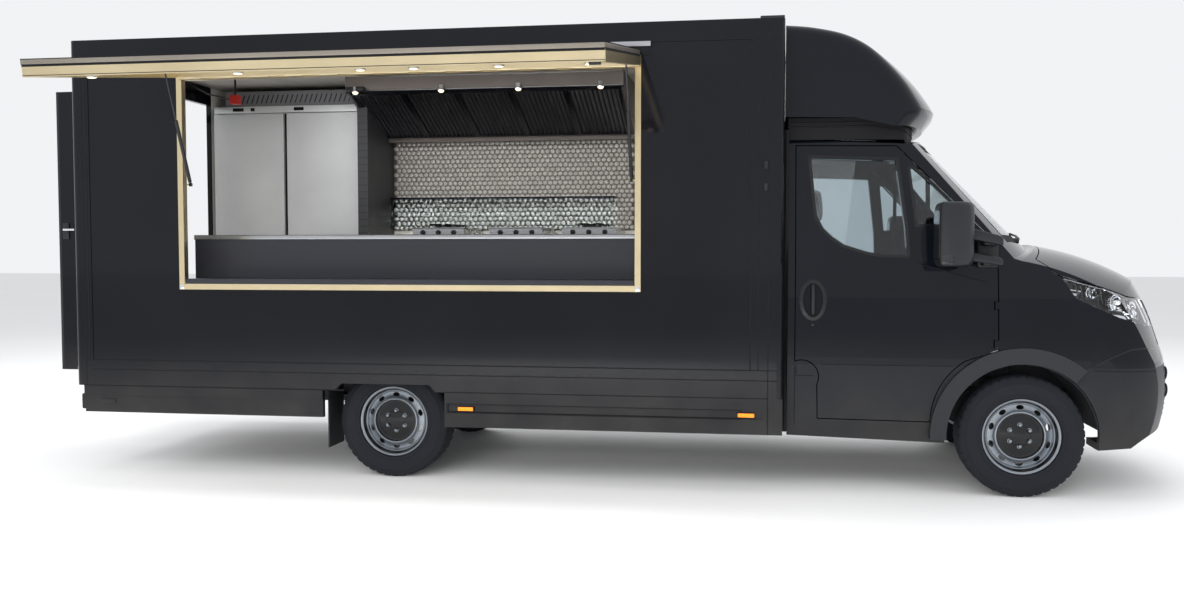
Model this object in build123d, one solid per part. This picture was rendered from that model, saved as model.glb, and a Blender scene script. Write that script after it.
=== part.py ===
"""A food truck: box body with a serving hatch on a van cab and ladder chassis.

Every length is in millimetres. The model is drawn with X forward from the front
axle, Y to the truck's left and Z up from the ground, then moved so that the
origin lies at the bottom centre of the whole outline. The serving side is the
right side, at negative Y. The hatch lid and the rear door stand open.
"""
from build123d import *
from functools import lru_cache
from math import atan2, cos, degrees, hypot, pi, radians, sin
import os

# Running gear
WHEELBASE = 3760
TRACK = 1730
TYRE_DIAMETER = 706
TYRE_WIDTH = 225
KINGPIN_INSET = 62
RUN_CLEARANCE = 0.3
HAND_HOLES = 10
HAND_HOLE_CIRCLE = 165
HAND_HOLE_RADIUS = 15
AXLE_HEIGHT = TYRE_DIAMETER / 2
WHEEL_Y = TRACK / 2

# Chassis frame
RAIL_OUTER_Y = 425
RAIL_WIDTH = 65
RAIL_BOTTOM = 400
RAIL_HEIGHT = 140
RAIL_WALL = 8
RAIL_FRONT = 640
RAIL_REAR = -5700

# Cab
CAB_REAR = -1330
CAB_HALF_WIDTH = 1000
CAB_SKIN = 30
BONNET_SKIN = 22
DOOR_THICKNESS = 62
DOOR_REAR = -1290
DOOR_FLANGE = 12
DOOR_REBATE = 28
HANDLE_CENTRE = (-1185, 1134)
HANDLE_HALF = (58, 100)
HANDLE_DEPTH = 25
HANDLE_BAR = 26
GLASS_THICKNESS = 6
GLASS_INSET = 5
SHUT_GAP = 6
FIXED_SEAM = 0.3
CAB_FLOOR_TOP = 590
CAB_FLOOR_THICKNESS = 28
FIREWALL_X = 10
DASH_TOP = 1350
ARCH_RADIUS = 424
FLARE_RADIUS = 515
FLARE_PROUD = 14
LINER_WALL = 6
WHEELHOUSE_INNER_Y = 520

# Box body
BOX_FRONT = -1358
BOX_REAR = -5845
BOX_HALF_WIDTH = 1100
BOX_BOTTOM = 560
BOX_TOP = 2755
WALL_THICKNESS = 40
PANEL_INSET = 4
FLOOR_BOTTOM = 600
FLOOR_THICKNESS = 60
BOTTOM_RAIL_HEIGHT = 165
TOP_RAIL_HEIGHT = 115
FRONT_POST_WIDTH = 188
REAR_POST_WIDTH = 125
CORNER_RADIUS = 38
WHEEL_BOX_INNER_Y = 700
WHEEL_BOX_TOP = 800
WHEEL_BOX_WALL = 12

# Serving hatch
HATCH_REAR = -5110
HATCH_FRONT = -2187
HATCH_BOTTOM = 1180
HATCH_TOP = 2562
FRAME_FACE = 35
HEADER_FACE = 72
FRAME_PROUD = 8
LID_LENGTH = 1440
LID_THICKNESS = 90
LID_SKIN = 30
LID_REST_SLOPE = 8.8
LID_RIM = 34
HINGE_OUTBOARD = 16
HINGE_PIN_RADIUS = 6
HINGE_KNUCKLE_RADIUS = 10
HINGE_KNUCKLE_LENGTH = 120
HINGE_KNUCKLES = 7

# Gas struts
STRUT_INSET = 60
STRUT_LOW_Y = -1060
STRUT_LOW_Z = 1840
STRUT_ALONG_LID = 210
STRUT_UNDER_LID = 32
STRUT_TUBE_RADIUS = 11
STRUT_ROD_RADIUS = 5
STRUT_EYE_RADIUS = 11
STRUT_PIN_RADIUS = 4

# Rear door
REAR_DOOR_HINGE_Y = -100
REAR_DOOR_WIDTH = 735
REAR_DOOR_THICKNESS = 45
REAR_DOOR_BOTTOM = 545
REAR_DOOR_TOP = 2590
REAR_DOOR_GAP = 6

# Kitchen
SHELF_TOP = 1246
COUNTER_FRONT_Y = -800
COUNTER_DEPTH = 520
WORKTOP_TOP = 1526
WORKTOP_THICKNESS = 30
FRIDGE_FRONT_Y = 550
FRIDGE_HEIGHT = 1890
FRIDGE_DOOR_WIDTH = 585
FRIDGE_DOOR_THICKNESS = 50
FRIDGE_DOOR_GAP = 28
COLUMN_FRONT_Y = 460
HOOD_TOP = (262, 2600)
HOOD_LIP = (940, 2325)
BACK_TOP = 1530
HOOD_REAR = -4538
HOOD_FRONT = -2465

WALL_INNER_Y = BOX_HALF_WIDTH - WALL_THICKNESS
FLOOR_TOP = FLOOR_BOTTOM + FLOOR_THICKNESS
CEILING = BOX_TOP - WALL_THICKNESS


def block(x, y, z):
    """A box between pairs of low and high values along each axis."""
    size = Box(x[1] - x[0], y[1] - y[0], z[1] - z[0])
    return Pos((x[0] + x[1]) / 2, (y[0] + y[1]) / 2, (z[0] + z[1]) / 2) * size


def rod(start, end, radius):
    """A round bar between two points."""
    axis = Vector(*end) - Vector(*start)
    plane = Plane(origin=start, z_dir=axis)
    return Solid.make_cylinder(radius, axis.length, plane)


def outline(rows, place):
    """A closed wire. A row of two is a straight run, a row of four an arc through its first pair."""
    ends = [row[-2:] for row in rows]
    edges = []
    for index, row in enumerate(rows):
        start = place(*ends[index - 1])
        end = place(*row[-2:])
        if len(row) == 4:
            edges.append(Edge.make_three_point_arc(start, place(*row[:2]), end))
        else:
            edges.append(Edge.make_line(start, end))
    return Wire(edges)


def side_prism(rows, y_low, y_high):
    """A side-view outline (x, z) pushed across the truck."""
    face = Face(outline(rows, lambda x, z: Vector(x, y_low, z)))
    return Solid.extrude(face, Vector(0, y_high - y_low, 0))


def plan_prism(rows, z_low, z_high):
    """A plan outline (x, y) pushed upwards."""
    face = Face(outline(rows, lambda x, y: Vector(x, y, z_low)))
    return Solid.extrude(face, Vector(0, 0, z_high - z_low))


def side_oval(centre, half, y_low, y_high):
    """An upright oval in side view, pushed across the truck."""
    plane = Plane(origin=(centre[0], y_low, centre[1]), x_dir=(1, 0, 0), z_dir=(0, 1, 0))
    return extrude(plane * Ellipse(half[0], half[1]), y_high - y_low)


def front_prism(rows, x_low, x_high):
    """A front-view outline (y, z) pushed along the truck."""
    face = Face(outline(rows, lambda y, z: Vector(x_low, y, z)))
    return Solid.extrude(face, Vector(x_high - x_low, 0, 0))


def mirrored(shape):
    """The same piece on the other side of the truck."""
    return mirror(shape, Plane.XZ)


def both_sides(shape):
    """The piece and its mirror image, joined."""
    return shape + mirrored(shape)


def joined(shapes):
    """All the shapes as one."""
    result = shapes[0]
    for shape in shapes[1:]:
        result = result + shape
    return result


# Cab form
# Side profile on the centre line. Columns: x, z, how far the point has moved back and
# down at the full half width, and the way inwards for an inner skin as x and z steps.
CAB_PROFILE = {
    "rear_bottom": (CAB_REAR, 330, 0, 0, 1, 1),
    "roof_rear": (CAB_REAR, 2155, 0, 100, 1, -1),
    "screen_top": (-490, 2115, 170, 90, -0.4, -1),
    "screen_base": (170, 1437, 240, 60, -1.4, 0),
    "bonnet_rear": (212, 1462, 240, 100, -0.4, -1),
    "bonnet_mid": (470, 1402, 270, 100, -0.3, -1),
    "bonnet_front": (790, 1262, 300, 100, -0.7, -0.7),
    "lamp_mid": (878, 1095, 320, 50, -1, -0.3),
    "nose": (928, 955, 320, 20, -1, -0.3),
    "bumper_top": (985, 785, 320, 0, -1, -0.1),
    "bumper_mid": (1002, 577, 320, 0, -1, 0),
    "bumper_low": (971, 374, 320, 0, -1, 0.3),
    "bumper_under": (830, 300, 260, 0, -0.3, 1),
    "under_front": (500, 280, 100, 0, 0, 1),
}
# Runs round the profile. Columns: point, or middle point of an arc and end point.
CAB_RUNS = [
    ("rear_bottom",),
    ("roof_rear",),
    ("screen_top",),
    ("screen_base",),
    ("bonnet_rear",),
    ("bonnet_mid", "bonnet_front"),
    ("lamp_mid", "nose"),
    ("bumper_top",),
    ("bumper_mid", "bumper_low"),
    ("bumper_under",),
    ("under_front",),
]
CAB_STATIONS = (-1060, -530, 0, 530, 1060)
# Front view of the cab side. Columns: y, z up the right-hand side.
CAB_SIDE = [(930, 200), (968, 430), (CAB_HALF_WIDTH, 800), (CAB_HALF_WIDTH, 1150), (986, 1390), (868, 2040)]
ROOF_EDGE = (845, 2110, 770, 2150)
FRONT_CORNER = [(360, 996), (690, 925, 870, 720), (1200, 560)]


def cab_section(y, inset):
    """One upright section through the cab, moved inwards by the inset."""
    share = (y / CAB_HALF_WIDTH) ** 2

    def point(name):
        x, z, back, down, in_x, in_z = CAB_PROFILE[name]
        return (x - back * share + in_x * inset, z - down * share + in_z * inset)

    rows = []
    for run in CAB_RUNS:
        row = ()
        for name in run:
            row = row + point(name)
        rows.append(row)
    return outline(rows, lambda x, z: Vector(x, y, z))


def cab_side_rows(inset):
    """Front-view outline of the cab's sides and roof edges."""
    right = [(-y + inset, z) for y, z in CAB_SIDE]
    left = [(y - inset, z) for y, z in reversed(CAB_SIDE)]
    mid_y, mid_z, end_y, end_z = ROOF_EDGE
    rows = list(right)
    rows.append((-mid_y + inset, mid_z, -end_y + inset, end_z))
    rows.append((-end_y + inset, 2400))
    rows.append((end_y - inset, 2400))
    rows.append((end_y - inset, end_z))
    rows.append((mid_y - inset, mid_z) + left[0])
    rows.extend(left[1:])
    return rows


def cab_plan_rows(inset):
    """Plan outline with rounded front corners."""
    start, corner, end = FRONT_CORNER
    half = CAB_HALF_WIDTH + 60 - inset
    rows = [
        (CAB_REAR, -half),
        (start[0], -half),
        (start[0], -start[1] + inset),
        (corner[0] - inset, -corner[1] + inset, corner[2] - inset, -corner[3] + inset),
        (end[0] - inset, -end[1] + inset),
        (end[0] - inset, end[1] - inset),
        (corner[2] - inset, corner[3] - inset),
        (corner[0] - inset, corner[1] - inset, start[0], start[1] - inset),
        (start[0], half),
        (CAB_REAR, half),
    ]
    return rows


@lru_cache(maxsize=None)
def cab_form(inset):
    """The cab as one closed body, smaller all round by the inset."""
    body = Solid.make_loft([cab_section(y, inset) for y in CAB_STATIONS], False)
    sides = front_prism(cab_side_rows(inset), CAB_REAR - 100, 1300)
    corners = plan_prism(cab_plan_rows(inset), 0, 2600)
    return body & sides & corners


# Shut lines and window outlines in side view
DOOR_OUTLINE = [
    (DOOR_REAR, 2050),
    (-705, 2040),
    (-150, 1462),
    (-138, 850),
    (-325, 785),
    (-455, 640, -505, 425),
    (-1156, 432),
    (-1161, 640),
    (-1170, 740, DOOR_REAR, 770),
]
WINDOW_OUTLINE = [
    (-1198, 1968),
    (-714, 1948),
    (-664, 1560),
    (-655, 1400),
    (-802, 1404),
    (-1010, 1460, -1128, 1558),
    (-1165, 1631),
]
QUARTER_OUTLINE = [(-630, 1900), (-590, 1905, -555, 1865), (-352, 1655), (-340, 1590), (-592, 1575)]
LAMP_OUTLINE = [(190, 1275), (415, 1212), (567, 1160), (1200, 1060), (1200, 975), (700, 985), (509, 1044), (273, 1151)]
LAMP_INNER_Y = 560
DOOR_HINGE = (-158, 995)
DOOR_HINGE_HEIGHTS = (890, 1110)
DOOR_LUG_HEIGHT = 40
DOOR_PIN_RADIUS = 4
BONNET_HINGE = (-20, 1372)
BONNET_PIN_RADIUS = 7
BONNET_ARM_Y = 730
BONNET_ARM_WIDTH = 24
BONNET_ARM_DIP = 62
ARM_INNER_RADIUS = 157
ARM_OUTER_RADIUS = 182
BONNET_SIDE = [(75, 1700), (75, 1372), (159, 1292), (190, 1275), (415, 1212), (567, 1160), (1200, 1060), (1200, 1700)]
BUMPER_OUTLINE = [(372, 780), (573, 866), (1200, 866), (1200, 150), (330, 150), (330, 700)]
GRILLE_BOTTOM = 866
GRILLE_HALF_WIDTH = 610
SCREEN_HALF_TOP = 720
SCREEN_HALF_BASE = 850


def side_zone(rows, gap, y_low, y_high):
    """Side-view outline drawn in by a gap all round, pushed across the truck."""
    wire = outline(rows, lambda x, z: Vector(x, y_low, z))
    if gap:
        wire = wire.offset_2d(-gap, kind=Kind.INTERSECTION)
    return Solid.extrude(Face(wire), Vector(0, y_high - y_low, 0))


def wheel_arch(x, radius, y_low, y_high):
    """The round space of one wheel arch, open below."""
    dome = rod((x, y_low, AXLE_HEIGHT), (x, y_high, AXLE_HEIGHT), radius)
    below = block((x - radius, x + radius), (y_low, y_high), (0, AXLE_HEIGHT))
    return dome + below


def screen_rows(grow):
    """Front-view outline of the windscreen."""
    top = 2062 + grow
    base = 1470 - grow
    half_top = SCREEN_HALF_TOP + grow
    half_base = SCREEN_HALF_BASE + grow
    return [(-half_base, base), (-half_top, top), (half_top, top), (half_base, base)]


def bonnet_zone(gap):
    """Everything above the bonnet's shut line."""
    side = side_zone(BONNET_SIDE, gap, -1200, 1200)
    rows = [
        (225 + gap, 0, 75 + gap, -880),
        (75 + gap, -1200),
        (1300, -1200),
        (1300, 1200),
        (75 + gap, 1200),
        (75 + gap, 880),
    ]
    return side & plan_prism(rows, 900, 1800)


def lamp_zone(gap):
    """Headlamp pockets on both sides."""
    near = side_zone(LAMP_OUTLINE, gap, -1200, -LAMP_INNER_Y - gap)
    return both_sides(near)


def grille_zone(gap):
    """The opening between the lamps, under the bonnet."""
    wide = block((560, 1200), (-GRILLE_HALF_WIDTH + gap, GRILLE_HALF_WIDTH - gap), (GRILLE_BOTTOM + gap, 975 - gap))
    tall_half = LAMP_INNER_Y - gap
    tall = block((560, 1200), (-tall_half, tall_half), (970 - gap, 1250))
    return (wide + tall) - bonnet_zone(-gap)


def build_cab():
    """Cab shell and every panel cut out of it."""
    skin = cab_form(0)
    inner = cab_form(CAB_SKIN)
    shell = skin - inner
    bonnet_cut = bonnet_zone(0)
    lamp_cut = lamp_zone(0)
    grille_cut = grille_zone(0)
    bumper_cut = side_prism(BUMPER_OUTLINE, -1200, 1200)
    arches = both_sides(wheel_arch(0, ARCH_RADIUS, -1200, -WHEELHOUSE_INNER_Y))
    screen_zone = front_prism(screen_rows(0), -700, 400)
    door_cut = both_sides(side_prism(DOOR_OUTLINE, -1200, -600))

    bonnet = (skin - cab_form(BONNET_SKIN)) & bonnet_zone(SHUT_GAP)
    bonnet = bonnet + both_sides(bonnet_arm() & skin)
    bumper = ((skin - cab_form(40)) & bumper_cut) - arches
    bumper = bumper - block((-100, 690), (-700, 700), (100, 356))
    lamps = ((cab_form(2) - cab_form(60)) & lamp_zone(FIXED_SEAM)) - bonnet_cut - bumper_cut
    grille = build_grille(skin, bumper_cut, bonnet_cut, lamp_cut)
    glass = (cab_form(GLASS_INSET) - cab_form(GLASS_INSET + GLASS_THICKNESS)) & front_prism(screen_rows(0), -700, 400)
    glass = glass & block((-700, 400), (-900, 900), (1450, 2100))

    floor = block((CAB_REAR, FIREWALL_X + 20), (-1000, 1000), (CAB_FLOOR_TOP - CAB_FLOOR_THICKNESS, CAB_FLOOR_TOP))
    firewall = block((FIREWALL_X, FIREWALL_X + 20), (-1000, 1000), (CAB_FLOOR_TOP - 20, 1440))
    inner_parts = (floor + firewall) & cab_form(CAB_SKIN - 2)
    inner_parts = inner_parts - bonnet_cut

    shell = shell - bonnet_cut - lamp_cut - grille_cut - bumper_cut - screen_zone
    shell = shell + inner_parts
    open_front = block((120, 1200), (-900, 900), (250, 420))
    under = block((CAB_REAR - 5, 560), (-880, 880), (200, CAB_FLOOR_TOP - CAB_FLOOR_THICKNESS))
    shell = shell - door_cut - arches - open_front - under - both_sides(arm_pocket())
    shell = shell + both_sides(bonnet_pin()) + both_sides(door_lugs())
    return shell, bonnet, bumper, lamps, grille, glass


def bonnet_arm():
    """Goose-neck arm of the bonnet's right hinge, curving under the scuttle edge."""
    hinge_x, hinge_z = BONNET_HINGE
    low_y = -BONNET_ARM_Y - BONNET_ARM_WIDTH / 2
    high_y = -BONNET_ARM_Y + BONNET_ARM_WIDTH / 2

    def turn(radius, angle):
        return (hinge_x + radius * cos(radians(angle)), hinge_z + radius * sin(radians(angle)))

    start = -BONNET_ARM_DIP
    end = 6
    rows = [
        turn(ARM_INNER_RADIUS, start),
        turn(ARM_INNER_RADIUS, start / 2) + turn(ARM_INNER_RADIUS, end),
        turn(ARM_OUTER_RADIUS, end),
        turn(ARM_OUTER_RADIUS, start / 2) + turn(ARM_OUTER_RADIUS, start - 7),
        turn(0, 0),
    ]
    arm = side_prism(rows, low_y, high_y)
    eye = rod((hinge_x, low_y, hinge_z), (hinge_x, high_y, hinge_z), BONNET_PIN_RADIUS + 7)
    pin_room = rod((hinge_x, low_y - 1, hinge_z), (hinge_x, high_y + 1, hinge_z), BONNET_PIN_RADIUS + RUN_CLEARANCE)
    return arm + eye - pin_room


def arm_pocket():
    """Room for the right bonnet arm through the firewall and over the dashboard."""
    hinge_x, hinge_z = BONNET_HINGE
    half = BONNET_ARM_WIDTH / 2 + 8
    y = (-BONNET_ARM_Y - half, -BONNET_ARM_Y + half)
    return block((hinge_x - 26, 125), y, (hinge_z - 150, hinge_z + 18)) & cab_form(CAB_SKIN)


def bonnet_pin():
    """Pin of the right bonnet hinge, held in the scuttle on both sides of the arm."""
    hinge_x, hinge_z = BONNET_HINGE
    half = BONNET_ARM_WIDTH / 2 + 8
    pin = rod((hinge_x, -BONNET_ARM_Y - half - 12, hinge_z), (hinge_x, -BONNET_ARM_Y + half + 12, hinge_z), BONNET_PIN_RADIUS)
    for side in (-1, 1):
        inner = -BONNET_ARM_Y + side * half
        outer = inner + side * 12
        ear = block((hinge_x - 14, FIREWALL_X), (min(inner, outer), max(inner, outer)), (hinge_z - 12, hinge_z + 12))
        pin = pin + ear
    return pin


def door_lugs():
    """Hinge lugs and pins for the right cab door, flush in its front edge."""
    hinge_x, hinge_y = DOOR_HINGE
    lugs = []
    for z in DOOR_HINGE_HEIGHTS:
        low = z - DOOR_LUG_HEIGHT / 2
        high = z + DOOR_LUG_HEIGHT / 2
        arm = block((hinge_x, -110), (-CAB_HALF_WIDTH + 1, -hinge_y + 12), (low, high))
        round_end = rod((hinge_x, -hinge_y, low), (hinge_x, -hinge_y, high), DOOR_PIN_RADIUS + 3)
        pin = rod((hinge_x, -hinge_y, low - 15), (hinge_x, -hinge_y, high + 15), DOOR_PIN_RADIUS)
        lugs.append((arm + round_end) & cab_form(0))
        lugs.append(pin)
    return joined(lugs)


def door_lug_room():
    """Notches and pin bores in the right door for its hinge lugs."""
    hinge_x, hinge_y = DOOR_HINGE
    rooms = []
    for z in DOOR_HINGE_HEIGHTS:
        low = z - DOOR_LUG_HEIGHT / 2
        high = z + DOOR_LUG_HEIGHT / 2
        rooms.append(block((hinge_x - 13, -130), (-CAB_HALF_WIDTH - 20, -hinge_y + 22), (low - 5, high + 5)))
        rooms.append(rod((hinge_x, -hinge_y, low - 16), (hinge_x, -hinge_y, high + 16), DOOR_PIN_RADIUS + RUN_CLEARANCE))
    return joined(rooms)


def build_grille(skin, bumper_cut, bonnet_cut, lamp_cut):
    """Slatted grille between the lamps."""
    zone = grille_zone(FIXED_SEAM)
    frame = (skin - cab_form(34)) & zone
    openings = []
    for index in range(4):
        low = GRILLE_BOTTOM + 24 + index * 46
        openings.append(block((500, 1300), (-520, 520), (low, low + 22)))
    return frame - joined(openings) - bumper_cut - bonnet_cut - lamp_cut


def build_doors():
    """Right cab door with its window and quarter opening, and its panes."""
    zone = side_zone(DOOR_OUTLINE, SHUT_GAP, -1200, -600)
    skin = cab_form(0)
    slab = (skin - cab_form(DOOR_THICKNESS)) & zone
    rebate = block((CAB_REAR, DOOR_REAR + DOOR_REBATE), (-1200, -600), (0, 2100))
    slab = slab - (rebate & cab_form(DOOR_FLANGE))
    window = side_prism(WINDOW_OUTLINE, -1200, -600)
    quarter = side_prism(QUARTER_OUTLINE, -1200, -600)
    slab = slab - window - quarter
    slab = slab - wheel_arch(0, FLARE_RADIUS + 8, -1200, -600)
    handle_x, handle_z = HANDLE_CENTRE
    floor_y = -CAB_HALF_WIDTH + HANDLE_DEPTH
    slab = slab - side_oval(HANDLE_CENTRE, HANDLE_HALF, -1200, floor_y)
    bar_x = (handle_x - HANDLE_BAR / 2, handle_x + HANDLE_BAR / 2)
    top = handle_z + HANDLE_HALF[1] - 12
    low = handle_z - HANDLE_HALF[1] + 12
    handle = block(bar_x, (floor_y - 22, floor_y - 5), (low, top))
    handle = handle + block(bar_x, (floor_y - 22, floor_y + 5), (low, low + 14))
    handle = handle + block(bar_x, (floor_y - 22, floor_y + 5), (top - 14, top))
    panes = (cab_form(GLASS_INSET + 8) - cab_form(GLASS_INSET + 8 + GLASS_THICKNESS))
    panes = panes & (window + quarter)
    slab = slab - door_lug_room()
    return slab + handle, panes


def build_mirror():
    """Door mirror with its two arms."""
    head = block((-522, -325), (-1330, -1085), (1335, 1690))
    head = fillet(head.edges().filter_by(Axis.Z), 60)
    head = fillet(head.faces().filter_by(Axis.Z).edges(), 30)
    arms = []
    # Columns: height at the mirror, height at the door, half thickness
    for mirror_z, door_z, half in ((1520, 1470, 21), (1395, 1360, 19)):
        rows = [
            (-420, mirror_z - half),
            (-420, mirror_z + half),
            (-160, door_z + half),
            (-160, door_z - half),
        ]
        outer = side_prism(rows, -1180, -1070)
        arms.append(outer)
        arms.append(block((-240, -160), (-1100, -990), (door_z - half, door_z + half)))
    foot = block((-262, -162), (-1020, -950), (1325, 1500))
    result = head + joined(arms) + foot
    return result - cab_form(0)


def build_flares():
    """Matt arch trims with their liners, right side."""
    ring = rod((0, -CAB_HALF_WIDTH - FLARE_PROUD, AXLE_HEIGHT), (0, -920, AXLE_HEIGHT), FLARE_RADIUS)
    ring = ring - rod((0, -1100, AXLE_HEIGHT), (0, -900, AXLE_HEIGHT), ARCH_RADIUS)
    keep = side_prism([(-600, 330), (-600, 1000), (372, 1000), (372, 780), (0, 353), (-380, 330)], -1100, -900)
    trim = (ring & keep) - cab_form(0)
    outer = ARCH_RADIUS - 1
    dome = rod((0, -955, AXLE_HEIGHT), (0, -WHEELHOUSE_INNER_Y, AXLE_HEIGHT), outer)
    dome = dome - rod((0, -960, AXLE_HEIGHT), (0, -500, AXLE_HEIGHT), outer - LINER_WALL)
    liner = dome & side_prism([(-500, 400), (-500, 900), (500, 900), (500, 400)], -1000, -400)
    return trim, liner


# Roof fairing. Columns as in the cab profile, without the inner steps.
FAIRING_PROFILE = [
    (-1352, 2205, 0, 0),
    (-1352, 2792, 0, 40),
    (-1230, 2790, 0, 40),
    (-980, 2760, 60, 60),
    (-720, 2610, 90, 60),
    (-455, 2235, 150, 30),
    (-520, 2150, 150, 30),
    (-850, 2195, 40, 0),
]
FAIRING_HALF_WIDTH = 955


def fairing_section(y, inset):
    """One upright section through the roof fairing."""
    share = (y / FAIRING_HALF_WIDTH) ** 2
    points = [(x - back * share, z - down * share) for x, z, back, down in FAIRING_PROFILE]
    (x0, z0), (x1, z1), (x2, z2), (x3, z3), (x4, z4), (x5, z5), (x6, z6), (x7, z7) = points
    step = inset
    rows = [
        (x0, z0 + 0),
        (x1, z1 - step),
        (x2, z2 - step),
        (x3 - step / 2, z3 - step, x4 - step, z4 - step / 2),
        (x5 - step * 1.3, z5 + step / 3),
        (x6 - step, z6),
        (x7, z7),
    ]
    return outline(rows, lambda x, z: Vector(x, y, z))


def fairing_form(inset):
    """Closed body of the roof fairing."""
    half = FAIRING_HALF_WIDTH - inset
    body = Solid.make_loft([fairing_section(y, inset) for y in (-1000, -500, 0, 500, 1000)], False)
    high = BOX_TOP + 60 - inset
    rows = [
        (-half, 2000),
        (-half + 12, 2560),
        (-half + 50, high - 60, -half + 170, high),
        (half - 170, high),
        (half - 50, high - 60, half - 12, 2560),
        (half, 2000),
    ]
    plan = [
        (-1400, -half),
        (-900, -half),
        (-640, -half + 60, -560 - inset, -600 + inset),
        (-350, -300),
        (-350, 300),
        (-560 - inset, 600 - inset),
        (-640, half - 60, -900, half),
        (-1400, half),
    ]
    return body & front_prism(rows, -1500, -300) & plan_prism(plan, 1900, 3000)


def build_fairing():
    """Roof fairing with its base band on the cab roof."""
    shell = fairing_form(0) - cab_form(0)
    band = block((CAB_REAR, -560), (-900, 900), (2080, 2215)) & fairing_band()
    band = band - cab_form(0)
    return shell + band


def fairing_band():
    """Narrower stepped band under the fairing."""
    rows = [(-1332, -905), (-900, -890), (-680, -840, -600, -560), (-560, 0, -600, 560), (-680, 840, -900, 890), (-1332, 905)]
    return plan_prism(rows, 2000, 2250)


def build_box_frame():
    """Edge profiles of the box body as one cage."""
    cage = block((BOX_REAR, BOX_FRONT), (-BOX_HALF_WIDTH, BOX_HALF_WIDTH), (BOX_BOTTOM, BOX_TOP))
    cage = fillet(cage.edges().filter_by(Axis.Z), CORNER_RADIUS)
    room = block(
        (BOX_REAR + WALL_THICKNESS, BOX_FRONT - WALL_THICKNESS),
        (-WALL_INNER_Y, WALL_INNER_Y),
        (BOX_BOTTOM - 10, CEILING),
    )
    low = BOX_BOTTOM + BOTTOM_RAIL_HEIGHT
    high = BOX_TOP - TOP_RAIL_HEIGHT
    rear = BOX_REAR + REAR_POST_WIDTH
    front = BOX_FRONT - FRONT_POST_WIDTH
    across = BOX_HALF_WIDTH + 10
    along = BOX_HALF_WIDTH - REAR_POST_WIDTH
    cage = cage - room
    cage = cage - block((rear, front), (-across, across), (low, high))
    cage = cage - block((BOX_REAR - 10, BOX_FRONT + 10), (-along, along), (low, high))
    cage = cage - block((rear, front), (-along, along), (CEILING - 10, BOX_TOP + 10))
    arch = wheel_box_cut()
    rear_cut = rear_doorway()
    return cage - both_sides(arch) - rear_cut


def build_hinge_rail():
    """Rain rail above the hatch, under the top profile."""
    high = BOX_TOP - TOP_RAIL_HEIGHT
    middle = high - 29
    low = HATCH_TOP + 2
    y_in = -BOX_HALF_WIDTH + PANEL_INSET
    lip = block((HATCH_REAR - 48, HATCH_FRONT + 58), (-BOX_HALF_WIDTH - 18, y_in), (middle, high + 4))
    band = block((HATCH_REAR - 40, HATCH_FRONT + 48), (-BOX_HALF_WIDTH - 6, y_in), (low, middle))
    return lip + band


def wheel_box_cut():
    """Cut above the right rear wheel through the bottom rail."""
    x = -WHEELBASE
    rows = [(x - 298, 603), (x - 372, 527), (x - 413, 400), (x + 330, 400), (x + 314, 558), (x + 274, 603)]
    return side_prism(rows, -BOX_HALF_WIDTH - 20, -WALL_INNER_Y + 5)


def rear_doorway():
    """Opening of the rear door."""
    y_low = REAR_DOOR_HINGE_Y + 45
    y_high = REAR_DOOR_HINGE_Y + REAR_DOOR_WIDTH - 15
    return block((BOX_REAR - 20, BOX_REAR + WALL_THICKNESS + 20), (y_low, y_high), (FLOOR_TOP, REAR_DOOR_TOP - 20))


def build_walls():
    """Sandwich panels between the edge profiles."""
    low = BOX_BOTTOM + BOTTOM_RAIL_HEIGHT
    high = BOX_TOP - TOP_RAIL_HEIGHT
    rear = BOX_REAR + REAR_POST_WIDTH
    front = BOX_FRONT - FRONT_POST_WIDTH
    along = BOX_HALF_WIDTH - REAR_POST_WIDTH
    right = block((rear, front), (-BOX_HALF_WIDTH + PANEL_INSET, -WALL_INNER_Y), (low, high))
    left = mirrored(right)
    hatch = block((HATCH_REAR, HATCH_FRONT), (-BOX_HALF_WIDTH - 20, -WALL_INNER_Y + 20), (HATCH_BOTTOM, HATCH_TOP))
    right = right - hatch
    nose = block((BOX_FRONT - WALL_THICKNESS, BOX_FRONT - PANEL_INSET), (-along, along), (low, high))
    tail = block((BOX_REAR + PANEL_INSET, BOX_REAR + WALL_THICKNESS), (-along, along), (low, high))
    tail = tail - rear_doorway()
    roof = block((rear, front), (-along, along), (CEILING, BOX_TOP - PANEL_INSET))
    cowl = block((-3900, -3300), (300, 800), (BOX_TOP - PANEL_INSET, BOX_TOP + 90))
    cowl = fillet(cowl.edges().filter_by(Axis.Z), 40)
    return right, left, nose, tail, roof + cowl


def build_floor():
    """Box floor with the housings over the rear wheels and cross bearers."""
    plate = block(
        (BOX_REAR + WALL_THICKNESS, BOX_FRONT - WALL_THICKNESS),
        (-WALL_INNER_Y, WALL_INNER_Y),
        (FLOOR_BOTTOM, FLOOR_TOP),
    )
    x = -WHEELBASE
    wall = WHEEL_BOX_WALL
    outer = block((x - 410, x + 410), (-WALL_INNER_Y, -WHEEL_BOX_INNER_Y), (FLOOR_BOTTOM, WHEEL_BOX_TOP))
    inner = block(
        (x - 410 + wall, x + 410 - wall),
        (-WALL_INNER_Y - 5, -WHEEL_BOX_INNER_Y - wall),
        (FLOOR_BOTTOM - 5, WHEEL_BOX_TOP - wall),
    )
    floor = plate + both_sides(outer) - both_sides(inner)
    for index in range(7):
        middle = BOX_REAR + 260 + index * 620
        if abs(middle - x) > 450:
            floor = floor + block((middle - 25, middle + 25), (-1000, 1000), (RAIL_BOTTOM + RAIL_HEIGHT, FLOOR_BOTTOM))
    return floor


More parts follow.
